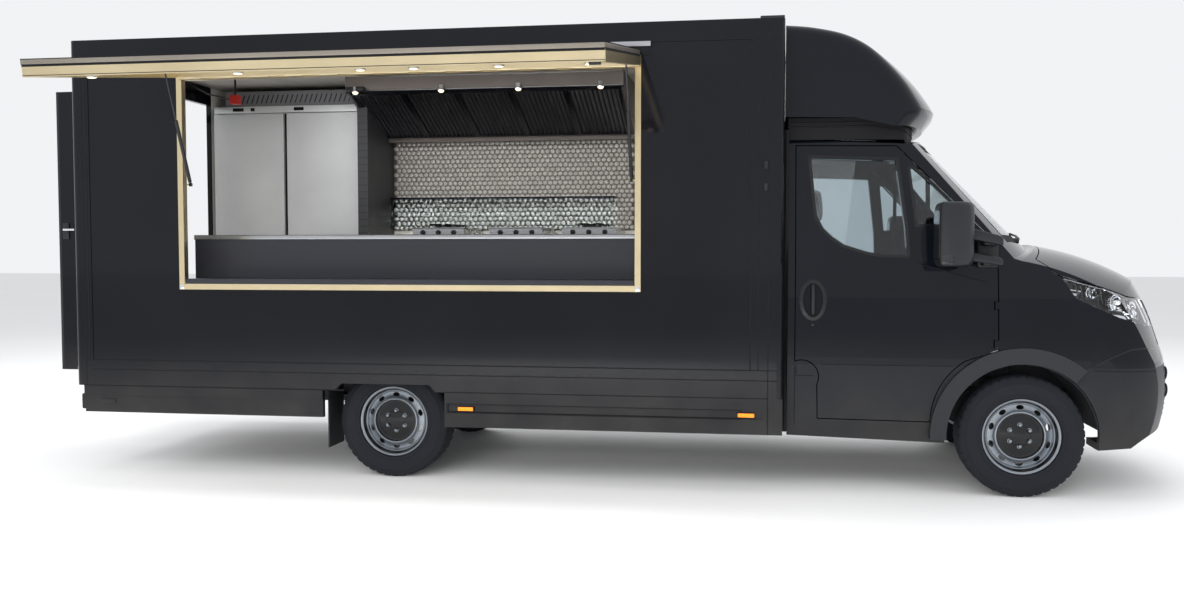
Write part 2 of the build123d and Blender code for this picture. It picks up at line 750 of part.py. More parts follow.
def build_skirts():
    """Side skirts with a lamp channel, rear valance and rear bumper."""
    x = -WHEELBASE
    face = -BOX_HALF_WIDTH
    front = block((x + 371, BOX_FRONT), (face, face + 30), (348, BOX_BOTTOM))
    channel = block((x + 371 + 20, BOX_FRONT - 110), (face - 5, face + 14), (438, 492))
    front = front - channel
    rear = block((BOX_REAR + 56, x - 413), (face + 12, face + 42), (388, BOX_BOTTOM))
    strip = block((BOX_REAR + 56, x - 413), (face, face + 12), (500, BOX_BOTTOM))
    right = front + rear + strip
    bar = block((BOX_REAR + 6, BOX_REAR + 66), (-1050, 1050), (400, 500))
    bar = fillet(bar.edges().filter_by(Axis.Y), 12)
    hangers = []
    for y in (-390, 390):
        hangers.append(block((BOX_REAR + 30, BOX_REAR + 145), (y - 30, y + 30), (420, 480)))
    flap = block((x - 425, x - 417), (-985, -740), (180, FLOOR_BOTTOM))
    return joined([both_sides(right), bar] + hangers), flap


def build_hatch_frame():
    """Gold profile round the serving hatch, with the lid's hinge lugs."""
    y_out = -BOX_HALF_WIDTH - FRAME_PROUD
    outer = block((HATCH_REAR, HATCH_FRONT), (y_out, -WALL_INNER_Y), (HATCH_BOTTOM, HATCH_TOP))
    hole = block(
        (HATCH_REAR + FRAME_FACE, HATCH_FRONT - FRAME_FACE),
        (y_out - 10, -WALL_INNER_Y + 10),
        (HATCH_BOTTOM + FRAME_FACE, HATCH_TOP - HEADER_FACE),
    )
    frame = outer - hole
    hinge_y, hinge_z = LID_HINGE
    for start in lug_starts():
        lug = block(
            (start, start + HINGE_KNUCKLE_LENGTH),
            (hinge_y - 4, y_out),
            (hinge_z - 4, hinge_z + HINGE_KNUCKLE_RADIUS),
        )
        lug = lug + rod(
            (start, hinge_y, hinge_z), (start + HINGE_KNUCKLE_LENGTH, hinge_y, hinge_z), HINGE_KNUCKLE_RADIUS
        )
        frame = frame + lug
    pin = rod((HATCH_REAR + 10, hinge_y, hinge_z), (HATCH_FRONT - 10, hinge_y, hinge_z), HINGE_PIN_RADIUS)
    return frame + pin


def lug_starts():
    """Where the fixed hinge knuckles begin, spread along the hatch."""
    room = HATCH_FRONT - HATCH_REAR - 2 * 60 - HINGE_KNUCKLE_LENGTH
    return [HATCH_REAR + 60 + room * index / (HINGE_KNUCKLES - 1) for index in range(HINGE_KNUCKLES)]


LID_HINGE = (-BOX_HALF_WIDTH - FRAME_PROUD - HINGE_OUTBOARD, HATCH_TOP - HEADER_FACE + 10)
LID_OUT = (-cos(radians(LID_REST_SLOPE)), -sin(radians(LID_REST_SLOPE)))
LID_UP = (-sin(radians(LID_REST_SLOPE)), cos(radians(LID_REST_SLOPE)))


def lid_point(along, up):
    """A point (y, z) of the resting lid, from its hinge."""
    y = LID_HINGE[0] + LID_OUT[0] * along + LID_UP[0] * up
    z = LID_HINGE[1] + LID_OUT[1] * along + LID_UP[1] * up
    return (y, z)


def lid_block(x, along, up):
    """A box in the lid's own directions."""
    rows = [
        lid_point(along[0], up[0]),
        lid_point(along[1], up[0]),
        lid_point(along[1], up[1]),
        lid_point(along[0], up[1]),
    ]
    return front_prism(rows, x[0], x[1])


def build_lid():
    """Lid skin and the deep rim under it."""
    span = (HATCH_REAR, HATCH_FRONT)
    start = 2
    skin = lid_block(span, (start, LID_LENGTH), (LID_THICKNESS - LID_SKIN, LID_THICKNESS))
    rim = lid_block(span, (start, LID_LENGTH - 4), (0, LID_THICKNESS - LID_SKIN))
    hole = lid_block(
        (span[0] + LID_RIM, span[1] - LID_RIM), (start + LID_RIM, LID_LENGTH - 4 - LID_RIM), (-5, LID_THICKNESS)
    )
    rim = rim - hole
    hinge_y, hinge_z = LID_HINGE
    clear = rod((span[0] - 5, hinge_y, hinge_z), (span[1] + 5, hinge_y, hinge_z), HINGE_KNUCKLE_RADIUS + 2)
    rim = rim - clear
    starts = lug_starts()
    for index in range(len(starts) - 1):
        low = starts[index] + HINGE_KNUCKLE_LENGTH + 2
        high = starts[index + 1] - 2
        middle = (low + high) / 2
        piece = (middle - HINGE_KNUCKLE_LENGTH / 2, middle + HINGE_KNUCKLE_LENGTH / 2)
        leaf = lid_block(piece, (0, 40), (0, 12))
        knuckle = rod((piece[0], hinge_y, hinge_z), (piece[1], hinge_y, hinge_z), HINGE_KNUCKLE_RADIUS)
        bore = rod((piece[0] - 1, hinge_y, hinge_z), (piece[1] + 1, hinge_y, hinge_z), HINGE_PIN_RADIUS + RUN_CLEARANCE)
        rim = rim + (leaf + knuckle - bore)
    return skin, rim


def strut_ends():
    """Lower and upper pivots of a gas strut at rest, and with the lid shut, as (y, z)."""
    low = (STRUT_LOW_Y, STRUT_LOW_Z)
    high = lid_point(STRUT_ALONG_LID, STRUT_UNDER_LID)
    shut = (LID_HINGE[0] - STRUT_UNDER_LID, LID_HINGE[1] - STRUT_ALONG_LID)
    return low, high, shut


def strut_lengths():
    """Pivot distances at rest and with the lid shut, and the two lean angles in degrees."""
    low, high, shut = strut_ends()
    open_length = hypot(high[0] - low[0], high[1] - low[1])
    shut_length = hypot(shut[0] - low[0], shut[1] - low[1])
    open_lean = degrees(atan2(low[0] - high[0], high[1] - low[1]))
    shut_lean = degrees(atan2(low[0] - shut[0], shut[1] - low[1]))
    return open_length, shut_length, open_lean, shut_lean


def build_struts():
    """Cylinder, rod, lower pin bracket and upper pin bracket of both gas struts."""
    low, high, shut = strut_ends()
    open_length, shut_length, open_lean, shut_lean = strut_lengths()
    way = ((high[0] - low[0]) / open_length, (high[1] - low[1]) / open_length)

    def at(x, distance):
        return (x, low[0] + way[0] * distance, low[1] + way[1] * distance)

    result = {}
    tube_end = shut_length - 45
    # Columns: name, x of the strut, x of the jamb or rim beside it
    for name, x, jamb in (
        ("rear", HATCH_REAR + STRUT_INSET, HATCH_REAR + FRAME_FACE),
        ("front", HATCH_FRONT - STRUT_INSET, HATCH_FRONT - FRAME_FACE),
    ):
        side = 1 if x > jamb else -1
        eye = rod((x - 8, low[0], low[1]), (x + 8, low[0], low[1]), STRUT_EYE_RADIUS)
        body = rod(at(x, 16), at(x, tube_end), STRUT_TUBE_RADIUS) + rod(at(x, 6), at(x, 20), 5) + eye
        body = body - rod((x - 9, low[0], low[1]), (x + 9, low[0], low[1]), STRUT_PIN_RADIUS + RUN_CLEARANCE)
        body = body - rod(at(x, 60), at(x, tube_end + 1), STRUT_ROD_RADIUS + RUN_CLEARANCE)
        bar = rod(at(x, open_length - shut_length + 75), at(x, open_length - 6), STRUT_ROD_RADIUS)
        top = rod((x - 8, high[0], high[1]), (x + 8, high[0], high[1]), STRUT_EYE_RADIUS)
        bar = bar + top
        bar = bar - rod((x - 9, high[0], high[1]), (x + 9, high[0], high[1]), STRUT_PIN_RADIUS + RUN_CLEARANCE)
        result["strut_cylinder_" + name] = body
        result["strut_rod_" + name] = bar
        jamb_face = jamb
        result["pin_low_" + name] = rod((jamb_face, low[0], low[1]), (x + side * 11, low[0], low[1]), STRUT_PIN_RADIUS)
        rim_face = jamb_face - side * (FRAME_FACE - LID_RIM)
        result["pin_high_" + name] = rod((rim_face, high[0], high[1]), (x + side * 11, high[0], high[1]), STRUT_PIN_RADIUS)
    return result


def build_rear_door():
    """Rear door, standing open at a right angle."""
    y_mid = REAR_DOOR_HINGE_Y
    half = REAR_DOOR_THICKNESS / 2
    x_hinge = BOX_REAR - REAR_DOOR_GAP - half
    door = block(
        (x_hinge - 15 - REAR_DOOR_WIDTH, x_hinge - 15), (y_mid - half, y_mid + half), (REAR_DOOR_BOTTOM, REAR_DOOR_TOP)
    )
    pins = []
    knuckles = []
    # Heights of the three hinges
    for z in (REAR_DOOR_BOTTOM + 240, (REAR_DOOR_BOTTOM + REAR_DOOR_TOP) / 2, REAR_DOOR_TOP - 240):
        pins.append(rod((x_hinge, y_mid, z - 50), (x_hinge, y_mid, z + 50), 7))
        pins.append(block((x_hinge - 7, BOX_REAR + PANEL_INSET), (y_mid - 9, y_mid + 9), (z - 50, z - 22)))
        pins.append(block((x_hinge - 7, BOX_REAR + PANEL_INSET), (y_mid - 9, y_mid + 9), (z + 22, z + 50)))
        knuckle = rod((x_hinge, y_mid, z - 20), (x_hinge, y_mid, z + 20), 12)
        knuckle = knuckle + block((x_hinge - 18, x_hinge), (y_mid - 9, y_mid + 9), (z - 20, z + 20))
        knuckles.append(knuckle - rod((x_hinge, y_mid, z - 21), (x_hinge, y_mid, z + 21), 7 + RUN_CLEARANCE))
    return joined([door] + knuckles), joined(pins)


def build_kitchen():
    """Serving shelf, counters, fridge, hood and splashback."""
    pieces = {}
    shelf_x = (HATCH_REAR + FRAME_FACE, HATCH_FRONT - FRAME_FACE)
    pieces["serving_shelf"] = block(
        shelf_x, (-BOX_HALF_WIDTH, COUNTER_FRONT_Y), (HATCH_BOTTOM + FRAME_FACE, SHELF_TOP)
    )
    counter_x = (HATCH_REAR - 60, BOX_FRONT - WALL_THICKNESS)
    back_y = COUNTER_FRONT_Y + COUNTER_DEPTH
    cabinet = block(counter_x, (COUNTER_FRONT_Y, back_y), (FLOOR_TOP, WORKTOP_TOP - WORKTOP_THICKNESS))
    cabinet = cabinet - block((-4700, -1500), (COUNTER_FRONT_Y + 20, back_y + 5), (FLOOR_TOP + 120, WORKTOP_TOP - 60))
    cabinet = cabinet - block((-4170, -3350), (COUNTER_FRONT_Y - 5, -690), (FLOOR_TOP - 5, WHEEL_BOX_TOP + 5))
    top = block(counter_x, (COUNTER_FRONT_Y - 12, back_y + 12), (WORKTOP_TOP - WORKTOP_THICKNESS, WORKTOP_TOP))
    pieces["front_counter"] = cabinet + top
    middle = -5150
    half = FRIDGE_DOOR_WIDTH + 4
    low = FLOOR_TOP + 60
    high = FLOOR_TOP + FRIDGE_HEIGHT
    door_back = FRIDGE_FRONT_Y + FRIDGE_DOOR_THICKNESS
    case = block((middle - half, middle + half), (door_back + 6, WALL_INNER_Y), (FLOOR_TOP, high))
    inside = block((middle - half + 40, middle + half - 40), (door_back, WALL_INNER_Y - 40), (low + 60, high - 120))
    case = case - inside
    # Columns: name, hinge side
    for name, side in (("rear", -1), ("front", 1)):
        edge = middle + side * half
        far = middle + side * FRIDGE_DOOR_GAP / 2
        x = (min(edge, far), max(edge, far))
        door = block(x, (FRIDGE_FRONT_Y, door_back), (low, high - 60))
        hinge = (edge - side * 10, FRIDGE_FRONT_Y + 25)
        door = door - rod((hinge[0], hinge[1], low - 1), (hinge[0], hinge[1], low + 20), 6 + RUN_CLEARANCE)
        door = door - rod((hinge[0], hinge[1], high - 81), (hinge[0], hinge[1], high - 59), 6 + RUN_CLEARANCE)
        pieces["fridge_door_" + name] = door
        case = case + rod((hinge[0], hinge[1], low - 20), (hinge[0], hinge[1], low + 19), 6)
        case = case + rod((hinge[0], hinge[1], high - 79), (hinge[0], hinge[1], high - 40), 6)
        for z in (low - 20, high - 56):
            foot = block((hinge[0] - 10, hinge[0] + 10), (hinge[1] - 10, door_back + 10), (z, z + 16))
            case = case + foot
    pieces["fridge"] = case
    lip_y, lip_z = HOOD_LIP
    top_y, top_z = HOOD_TOP
    hood_under = [(lip_y, lip_z), (lip_y, lip_z - 35), (lip_y + 40, lip_z - 35), (WALL_INNER_Y, lip_z + 5)]
    hood_rows = [(top_y - 12, CEILING), (top_y - 12, top_z), (top_y, top_z), *hood_under, (WALL_INNER_Y, CEILING)]
    hood = front_prism(hood_rows, HOOD_REAR, HOOD_FRONT)
    cavity_rows = [(300, CEILING - 40), (300, 2630), (925, 2375), (1020, 2375), (1020, CEILING - 40)]
    pieces["hood"] = hood - front_prism(cavity_rows, HOOD_REAR + 20, HOOD_FRONT - 20)
    column_top = top_z - (COLUMN_FRONT_Y - top_y) * (top_z - lip_z) / (lip_y - top_y)
    column_face = [(COLUMN_FRONT_Y, BACK_TOP), (COLUMN_FRONT_Y, column_top)]
    column_rows = [*column_face, *hood_under, (WALL_INNER_Y, BACK_TOP)]
    pieces["service_column"] = front_prism(column_rows, HOOD_REAR + 10, HOOD_REAR + 90)
    back_top = 1590
    pieces["splashback"] = block((HOOD_REAR + 90, HOOD_FRONT), (WALL_INNER_Y - 12, WALL_INNER_Y), (back_top, 2320))
    ledge = block((HOOD_REAR + 90, HOOD_FRONT - 160), (WALL_INNER_Y - 110, WALL_INNER_Y - 12), (1840, 1852))
    pieces["splashback"] = pieces["splashback"] + ledge
    base = block((HOOD_REAR + 60, BOX_FRONT - WALL_THICKNESS), (420, WALL_INNER_Y), (FLOOR_TOP, 1500))
    base = base - block((-4170, -3350), (690, 1100), (FLOOR_TOP - 5, WHEEL_BOX_TOP + 5))
    base = base - block((-4300, -3100), (400, 700), (FLOOR_TOP + 120, 1440))
    base = base + block((HOOD_REAR + 60, BOX_FRONT - WALL_THICKNESS), (400, WALL_INNER_Y), (BACK_TOP - 30, BACK_TOP))
    for x in (-3900, -3300, -2750):
        base = base + block((x - 200, x + 200), (470, 1000), (BACK_TOP, BACK_TOP + 70))
    pieces["back_counter"] = base
    return pieces


def build_lamps():
    """Side markers, rear lamp clusters and blank plate."""
    face = -BOX_HALF_WIDTH
    lamps = []
    # Middle of each side marker along the truck
    for x in (-3257, -1567):
        lamps.append(block((x - 53, x + 53), (face - 4, face + 14), (446, 476)))
    lamps.append(block((-5684, -5576), (face + 6, face + 12), (446, 476)))
    side = both_sides(joined(lamps))
    cluster = block((BOX_REAR - 24, BOX_REAR), (-1060, -930), (575, 700))
    cluster = fillet(cluster.edges().filter_by(Axis.X), 20)
    plate = block((BOX_REAR - 6, BOX_REAR), (-760, -240), (575, 690))
    return side + both_sides(cluster) + plate


def build_chassis():
    """Ladder frame of two channel rails and cross members."""
    outer = block((RAIL_REAR, RAIL_FRONT), (-RAIL_OUTER_Y, -RAIL_OUTER_Y + RAIL_WIDTH), (RAIL_BOTTOM, RAIL_BOTTOM + RAIL_HEIGHT))
    hollow = block(
        (RAIL_REAR - 1, RAIL_FRONT + 1),
        (-RAIL_OUTER_Y + RAIL_WALL, -RAIL_OUTER_Y + RAIL_WIDTH + 1),
        (RAIL_BOTTOM + RAIL_WALL, RAIL_BOTTOM + RAIL_HEIGHT - RAIL_WALL),
    )
    frame = both_sides(outer - hollow)
    inner_y = RAIL_OUTER_Y - RAIL_WALL
    for x in (520, -1150, -2300, -3300, -4450, -5640):
        frame = frame + block((x - 30, x + 30), (-inner_y, inner_y), (RAIL_BOTTOM + 60, RAIL_BOTTOM + 120))
    rail_top = RAIL_BOTTOM + RAIL_HEIGHT
    for x in (-1200, -180):
        mount = block((x - 40, x + 40), (-RAIL_OUTER_Y, -RAIL_OUTER_Y + RAIL_WIDTH), (rail_top, CAB_FLOOR_TOP - CAB_FLOOR_THICKNESS))
        frame = frame + both_sides(mount)
    return frame


def build_rear_axle():
    """Beam axle, final drive and leaf springs."""
    x = -WHEELBASE
    z = AXLE_HEIGHT
    beam = rod((x, -730, z), (x, 730, z), 42)
    drive = rod((x, -110, z), (x, 110, z), 150)
    drive = drive & block((x - 200, x + 200), (-200, 200), (z - 130, z + 38))
    spindle = rod((x, -840, z), (x, 840, z), 30)
    springs = []
    for side in (-1, 1):
        y = side * (RAIL_OUTER_Y + 45)
        leaf = side_prism([(x - 650, 470), (x, 375, x + 650, 470), (x + 650, 490), (x, 397, x - 650, 490)], y - 30, y + 30)
        springs.append(leaf)
        springs.append(block((x - 60, x + 60), (y - 36, y + 36), (z, 405)))
        for end in (-650, 650):
            low_y = min(side * RAIL_OUTER_Y, y + side * 30)
            high_y = max(side * RAIL_OUTER_Y, y + side * 30)
            springs.append(block((x + end - 25, x + end + 25), (low_y, high_y), (462, 530)))
    return joined([beam, drive, spindle] + springs)


def build_front_axle():
    """Cross beam, wishbones and king pins."""
    pin_y = WHEEL_Y - KINGPIN_INSET
    z = AXLE_HEIGHT
    beam = block((-70, 70), (-RAIL_OUTER_Y, RAIL_OUTER_Y), (300, RAIL_BOTTOM))
    side = rod((0, -pin_y, z - 128), (0, -pin_y, z + 128), 13)
    # Heights of the lower and upper arm
    for low, high in ((z - 128, z - 106), (z + 106, z + 128)):
        arm = plan_prism([(-110, -RAIL_OUTER_Y), (-22, -pin_y - 18), (22, -pin_y - 18), (110, -RAIL_OUTER_Y)], low, high)
        side = side + arm
    tower = block((-60, 60), (-RAIL_OUTER_Y - 22, -RAIL_OUTER_Y), (z - 128, z + 128))
    return beam + both_sides(side + tower)


def build_knuckle():
    """Right steering knuckle with its spindle, steering arm and brake caliper."""
    pin_y = WHEEL_Y - KINGPIN_INSET
    z = AXLE_HEIGHT
    clear = RUN_CLEARANCE
    barrel = rod((0, -pin_y, z - 106 + clear), (0, -pin_y, z + 106 - clear), 30)
    spindle = rod((0, -pin_y, z), (0, -WHEEL_Y - 30, z), 22)
    collar = rod((0, -pin_y, z), (0, -pin_y - 31, z), 38)
    caliper = block((-150, -90), (-pin_y - 62, -pin_y + 20), (z - 60, z + 60))
    caliper = caliper + block((-100, 0), (-pin_y - 12, -pin_y + 20), (z - 25, z + 25))
    knuckle = barrel + spindle + collar + caliper
    slot = rod((0, -WHEEL_Y + 10, z), (0, -WHEEL_Y + 32, z), 142)
    knuckle = knuckle - (slot - rod((0, -WHEEL_Y + 9, z), (0, -WHEEL_Y + 33, z), 38))
    return knuckle - rod((0, -pin_y, z - 120), (0, -pin_y, z + 120), 13 + clear)


# Wheel profile. Columns: radius, distance outwards from the wheel's middle plane.
TYRE_ROWS = [
    (206 + RUN_CLEARANCE, -85),
    (221, -88),
    (225, -103),
    (285, -TYRE_WIDTH / 2, 335, -98),
    (348, -90, TYRE_DIAMETER / 2 - 2, -76),
    (TYRE_DIAMETER / 2, 0, TYRE_DIAMETER / 2 - 2, 76),
    (348, 90, 335, 98),
    (285, TYRE_WIDTH / 2, 225, 103),
    (221, 88),
    (206 + RUN_CLEARANCE, 85),
]


def rim_rows(hub_bore):
    """Rim, dished disc, hub and brake disc as one turned outline."""
    return [
        (220, -95),
        (220, -89),
        (206, -86),
        (206, 86),
        (220, 89),
        (220, 95),
        (204, 97),
        (198, 60),
        (186, 42),
        (145, 54),
        (141, 66),
        (134, 66),
        (128, 44),
        (62, 42),
        (56, 52),
        (hub_bore, 52),
        (hub_bore, -30),
        (60, -30),
        (60, -28),
        (138, -28),
        (138, -14),
        (60, -14),
        (60, 34),
        (126, 34),
        (145, 42),
        (186, 30),
        (190, 40),
        (190, -80),
        (204, -95),
    ]


def wheel_solid(rows):
    """A ring turned about the wheel's own axle line, Y, at the origin."""
    face = Face(outline(rows, lambda r, out: Vector(r, -out, 0)))
    return Solid.revolve(face, 360, Axis.Y)


def build_wheel(hub_bore):
    """Right-hand tyre and rim about the origin, outer face to negative Y."""
    tyre = wheel_solid(TYRE_ROWS)
    rim = wheel_solid(rim_rows(hub_bore))
    holes = []
    for index in range(HAND_HOLES):
        angle = 2 * pi * (index + 0.5) / HAND_HOLES
        x = HAND_HOLE_CIRCLE * cos(angle)
        z = HAND_HOLE_CIRCLE * sin(angle)
        holes.append(rod((x, -120, z), (x, 10, z), HAND_HOLE_RADIUS))
    rim = rim - holes
    return tyre, rim


def build_cab_fittings():
    """Dashboard with steering wheel, and the seats."""
    dash = side_prism([(-235, 1040), (-235, 1180), (-180, 1290, 60, 1350), (60, 900), (-150, 900)], -880, 880)
    dash = dash & cab_form(CAB_SKIN + 40)
    dash = dash - block((FIREWALL_X, 400), (-1200, 1200), (500, 1500)) - both_sides(arm_pocket())
    dash = dash - block((-120, FIREWALL_X), (-1200, 1200), (DASH_TOP, 1500))
    column_start = (-140, 420, 1080)
    column_end = (-420, 420, 1200)
    column = rod(column_start, column_end, 26)
    axis = Vector(*column_end) - Vector(*column_start)
    plane = Plane(origin=column_end, z_dir=axis)
    wheel = Solid.make_torus(185, 15, plane)
    spoke = plane * Box(350, 34, 14)
    hub = plane * Cylinder(52, 30)
    dash = dash + column + wheel + spoke + hub
    seats = []
    # Columns: middle of the seat across the truck, its width
    for y, width in ((430, 520), (-430, 880)):
        low = y - width / 2
        high = y + width / 2
        cushion = side_prism([(-1130, 900), (-1130, 1000), (-620, 1030), (-580, 985, -600, 900)], low, high)
        back = side_prism([(-1120, 1006), (-1010, 1006), (-1120, 1560), (-1170, 1600, -1215, 1560)], low, high)
        seats.append(cushion)
        seats.append(back)
        head_count = 1 if width < 600 else 2
        for index in range(head_count):
            head_y = y + (index - (head_count - 1) / 2) * 430
            head = side_prism([(-1215, 1600), (-1215, 1790), (-1135, 1790), (-1120, 1600)], head_y - 125, head_y + 125)
            seats.append(head)
    bases = []
    for y, width in ((430, 420), (-430, 780)):
        bases.append(block((-1080, -640), (y - width / 2, y + width / 2), (CAB_FLOOR_TOP, 900)))
    return dash, seats, bases


def main():
    """Build every piece and write one file for each."""
    nodes = {}
    nodes["chassis_frame"] = build_chassis()
    nodes["rear_axle"] = build_rear_axle()
    nodes["front_axle"] = build_front_axle()
    nodes["engine"] = block((60, 720), (-270, 270), (RAIL_BOTTOM + 120, 1120))
    gearbox = block((-760, -90), (-150, 150), (330, 540)) + block((-91, 60), (-190, 190), (402, 540))
    shaft = rod((-760, 0, 395), (-WHEELBASE + 150, 0, AXLE_HEIGHT), 38)
    nodes["driveline"] = gearbox + shaft
    tank = block((-2700, -1900), (-960, -480), (350, RAIL_BOTTOM + RAIL_HEIGHT))
    nodes["fuel_tank"] = fillet(tank.edges().filter_by(Axis.X), 40)

    shell, bonnet, bumper, lamps, grille, glass = build_cab()
    door, panes = build_doors()
    trim, liner = build_flares()
    dash, seats, bases = build_cab_fittings()
    nodes["cab_shell"] = joined([shell] + bases)
    nodes["bonnet"] = bonnet
    nodes["front_bumper"] = bumper
    nodes["headlamps"] = lamps
    nodes["grille"] = grille
    nodes["windscreen"] = glass
    nodes["door_right"] = door
    nodes["door_left"] = mirrored(door)
    right_panes = panes & block((-1400, 400), (-1200, 0), (900, 2200))
    nodes["door_glass_right"] = right_panes
    nodes["door_glass_left"] = mirrored(right_panes)
    mirror_right = build_mirror()
    nodes["mirror_right"] = mirror_right
    nodes["mirror_left"] = mirrored(mirror_right)
    skirts, flap = build_skirts()
    nodes["skirts"] = skirts
    nodes["arch_trims"] = Compound(children=both_list([trim, liner, flap]))
    nodes["roof_fairing"] = build_fairing()
    nodes["dashboard"] = dash
    nodes["seats"] = Compound(children=[solid_of(seat) for seat in seats])

    door_solid, hinges = build_rear_door()
    nodes["rear_door"] = door_solid
    right, left, nose, tail, roof = build_walls()
    nodes["box_frame"] = build_box_frame() + build_hinge_rail()
    nodes["wall_right"] = right
    nodes["wall_left"] = left
    nodes["wall_front"] = nose
    nodes["wall_rear"] = tail + hinges
    nodes["box_roof"] = roof
    nodes["box_floor"] = build_floor()

    struts = build_struts()
    nodes["hatch_frame"] = build_hatch_frame() + struts["pin_low_rear"] + struts["pin_low_front"]
    skin, rim = build_lid()
    nodes["lid_skin"] = skin
    nodes["lid_rim"] = rim + struts["pin_high_rear"] + struts["pin_high_front"]
    for name in ("rear", "front"):
        nodes["strut_cylinder_" + name] = struts["strut_cylinder_" + name]
        nodes["strut_rod_" + name] = struts["strut_rod_" + name]
    nodes.update(build_kitchen())
    nodes["marker_lamps"] = build_lamps()

    knuckle = build_knuckle()
    nodes["knuckle_right"] = knuckle
    nodes["knuckle_left"] = mirrored(knuckle)
    front_tyre, front_rim = build_wheel(22 + RUN_CLEARANCE)
    rear_tyre, rear_rim = build_wheel(30 + RUN_CLEARANCE)
    # Columns: name, x of the axle, tyre, rim
    for name, x, tyre, rim in (("front", 0, front_tyre, front_rim), ("rear", -WHEELBASE, rear_tyre, rear_rim)):
        place = Pos(x, -WHEEL_Y, AXLE_HEIGHT)
        nodes["tyre_" + name + "_right"] = place * tyre
        nodes["rim_" + name + "_right"] = place * rim
        nodes["tyre_" + name + "_left"] = mirrored(place * tyre)
        nodes["rim_" + name + "_left"] = mirrored(place * rim)

    os.makedirs("parts", exist_ok=True)
    boxes = [shape.bounding_box() for shape in nodes.values()]
    low = [min(tuple(box.min)[axis] for box in boxes) for axis in range(3)]
    high = [max(tuple(box.max)[axis] for box in boxes) for axis in range(3)]
    print("lowest corner", low, "highest corner", high)
    for name, shape in nodes.items():
        export_step(ORIGIN_SHIFT * shape, "parts/" + name + ".step")


def solid_of(shape):
    """The single solid in a result."""
    return shape.solids()[0]


def both_list(shapes):
    """Every solid of the shapes and of their mirror images."""
    result = []
    for shape in shapes:
        result.extend(shape.solids())
        result.extend(mirrored(shape).solids())
    return result


OUTLINE_REAR = BOX_REAR - REAR_DOOR_GAP - REAR_DOOR_THICKNESS / 2 - 15 - REAR_DOOR_WIDTH
OUTLINE_FRONT = CAB_PROFILE["bumper_mid"][0] + 0.57
OUTLINE_RIGHT = lid_point(LID_LENGTH, LID_THICKNESS)[0]
OUTLINE_LEFT = 1330
ORIGIN_SHIFT = Pos(-(OUTLINE_REAR + OUTLINE_FRONT) / 2, -(OUTLINE_RIGHT + OUTLINE_LEFT) / 2, 0)

if __name__ == "__main__":
    main()
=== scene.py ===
"""Looks of the food truck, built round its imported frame. Lengths are in metres.

Places are given in the truck's own frame, as in its drawings: x forward from the
front axle, y to the left of the middle, z up from the ground. The serving side is
the right side, at negative y.
"""

from math import ceil, cos, pi, radians, sin, sqrt

import bmesh
import bpy
from mathutils import Matrix, Vector
from mathutils.bvhtree import BVHTree


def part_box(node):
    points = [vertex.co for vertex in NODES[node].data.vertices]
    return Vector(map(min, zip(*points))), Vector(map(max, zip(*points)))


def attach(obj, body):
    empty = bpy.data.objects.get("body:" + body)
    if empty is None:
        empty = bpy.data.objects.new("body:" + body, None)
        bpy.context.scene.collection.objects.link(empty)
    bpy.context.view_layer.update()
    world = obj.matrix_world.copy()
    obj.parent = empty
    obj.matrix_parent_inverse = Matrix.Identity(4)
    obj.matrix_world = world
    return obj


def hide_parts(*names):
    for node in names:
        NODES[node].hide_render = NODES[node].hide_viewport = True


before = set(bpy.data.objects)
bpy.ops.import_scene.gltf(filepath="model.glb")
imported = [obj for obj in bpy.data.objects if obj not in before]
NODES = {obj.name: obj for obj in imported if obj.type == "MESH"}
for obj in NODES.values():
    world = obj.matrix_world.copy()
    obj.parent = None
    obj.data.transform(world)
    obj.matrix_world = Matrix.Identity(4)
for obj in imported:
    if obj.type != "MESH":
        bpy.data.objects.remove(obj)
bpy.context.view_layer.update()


def middle_of(node):
    """Centre of a CAD node's box."""
    low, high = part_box(node)
    return (low + high) / 2


# Where the truck's own frame lies in the part's frame
SHIFT = Vector((
    middle_of("tyre_front_right").x,
    (middle_of("tyre_front_right").y + middle_of("tyre_front_left").y) / 2,
    0,
))


def span(node):
    """Lowest and highest corner of a CAD node, in the truck's own frame."""
    low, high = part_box(node)
    return low - SHIFT, high - SHIFT


def show(obj):
    """Puts an object in the scene."""
    bpy.context.scene.collection.objects.link(obj)
    return obj


def mesh_of(form, name="form"):
    """A mesh from a finished form, which is let go."""
    data = bpy.data.meshes.new(name)
    form.to_mesh(data)
    form.free()
    return data


# Materials

def linear(red, green, blue):
    """A screen colour of 0 to 255 a channel as linear light."""
    result = []
    for value in (red, green, blue):
        share = value / 255
        result.append(share / 12.92 if share <= 0.04045 else ((share + 0.055) / 1.055) ** 2.4)
    return (*result, 1)


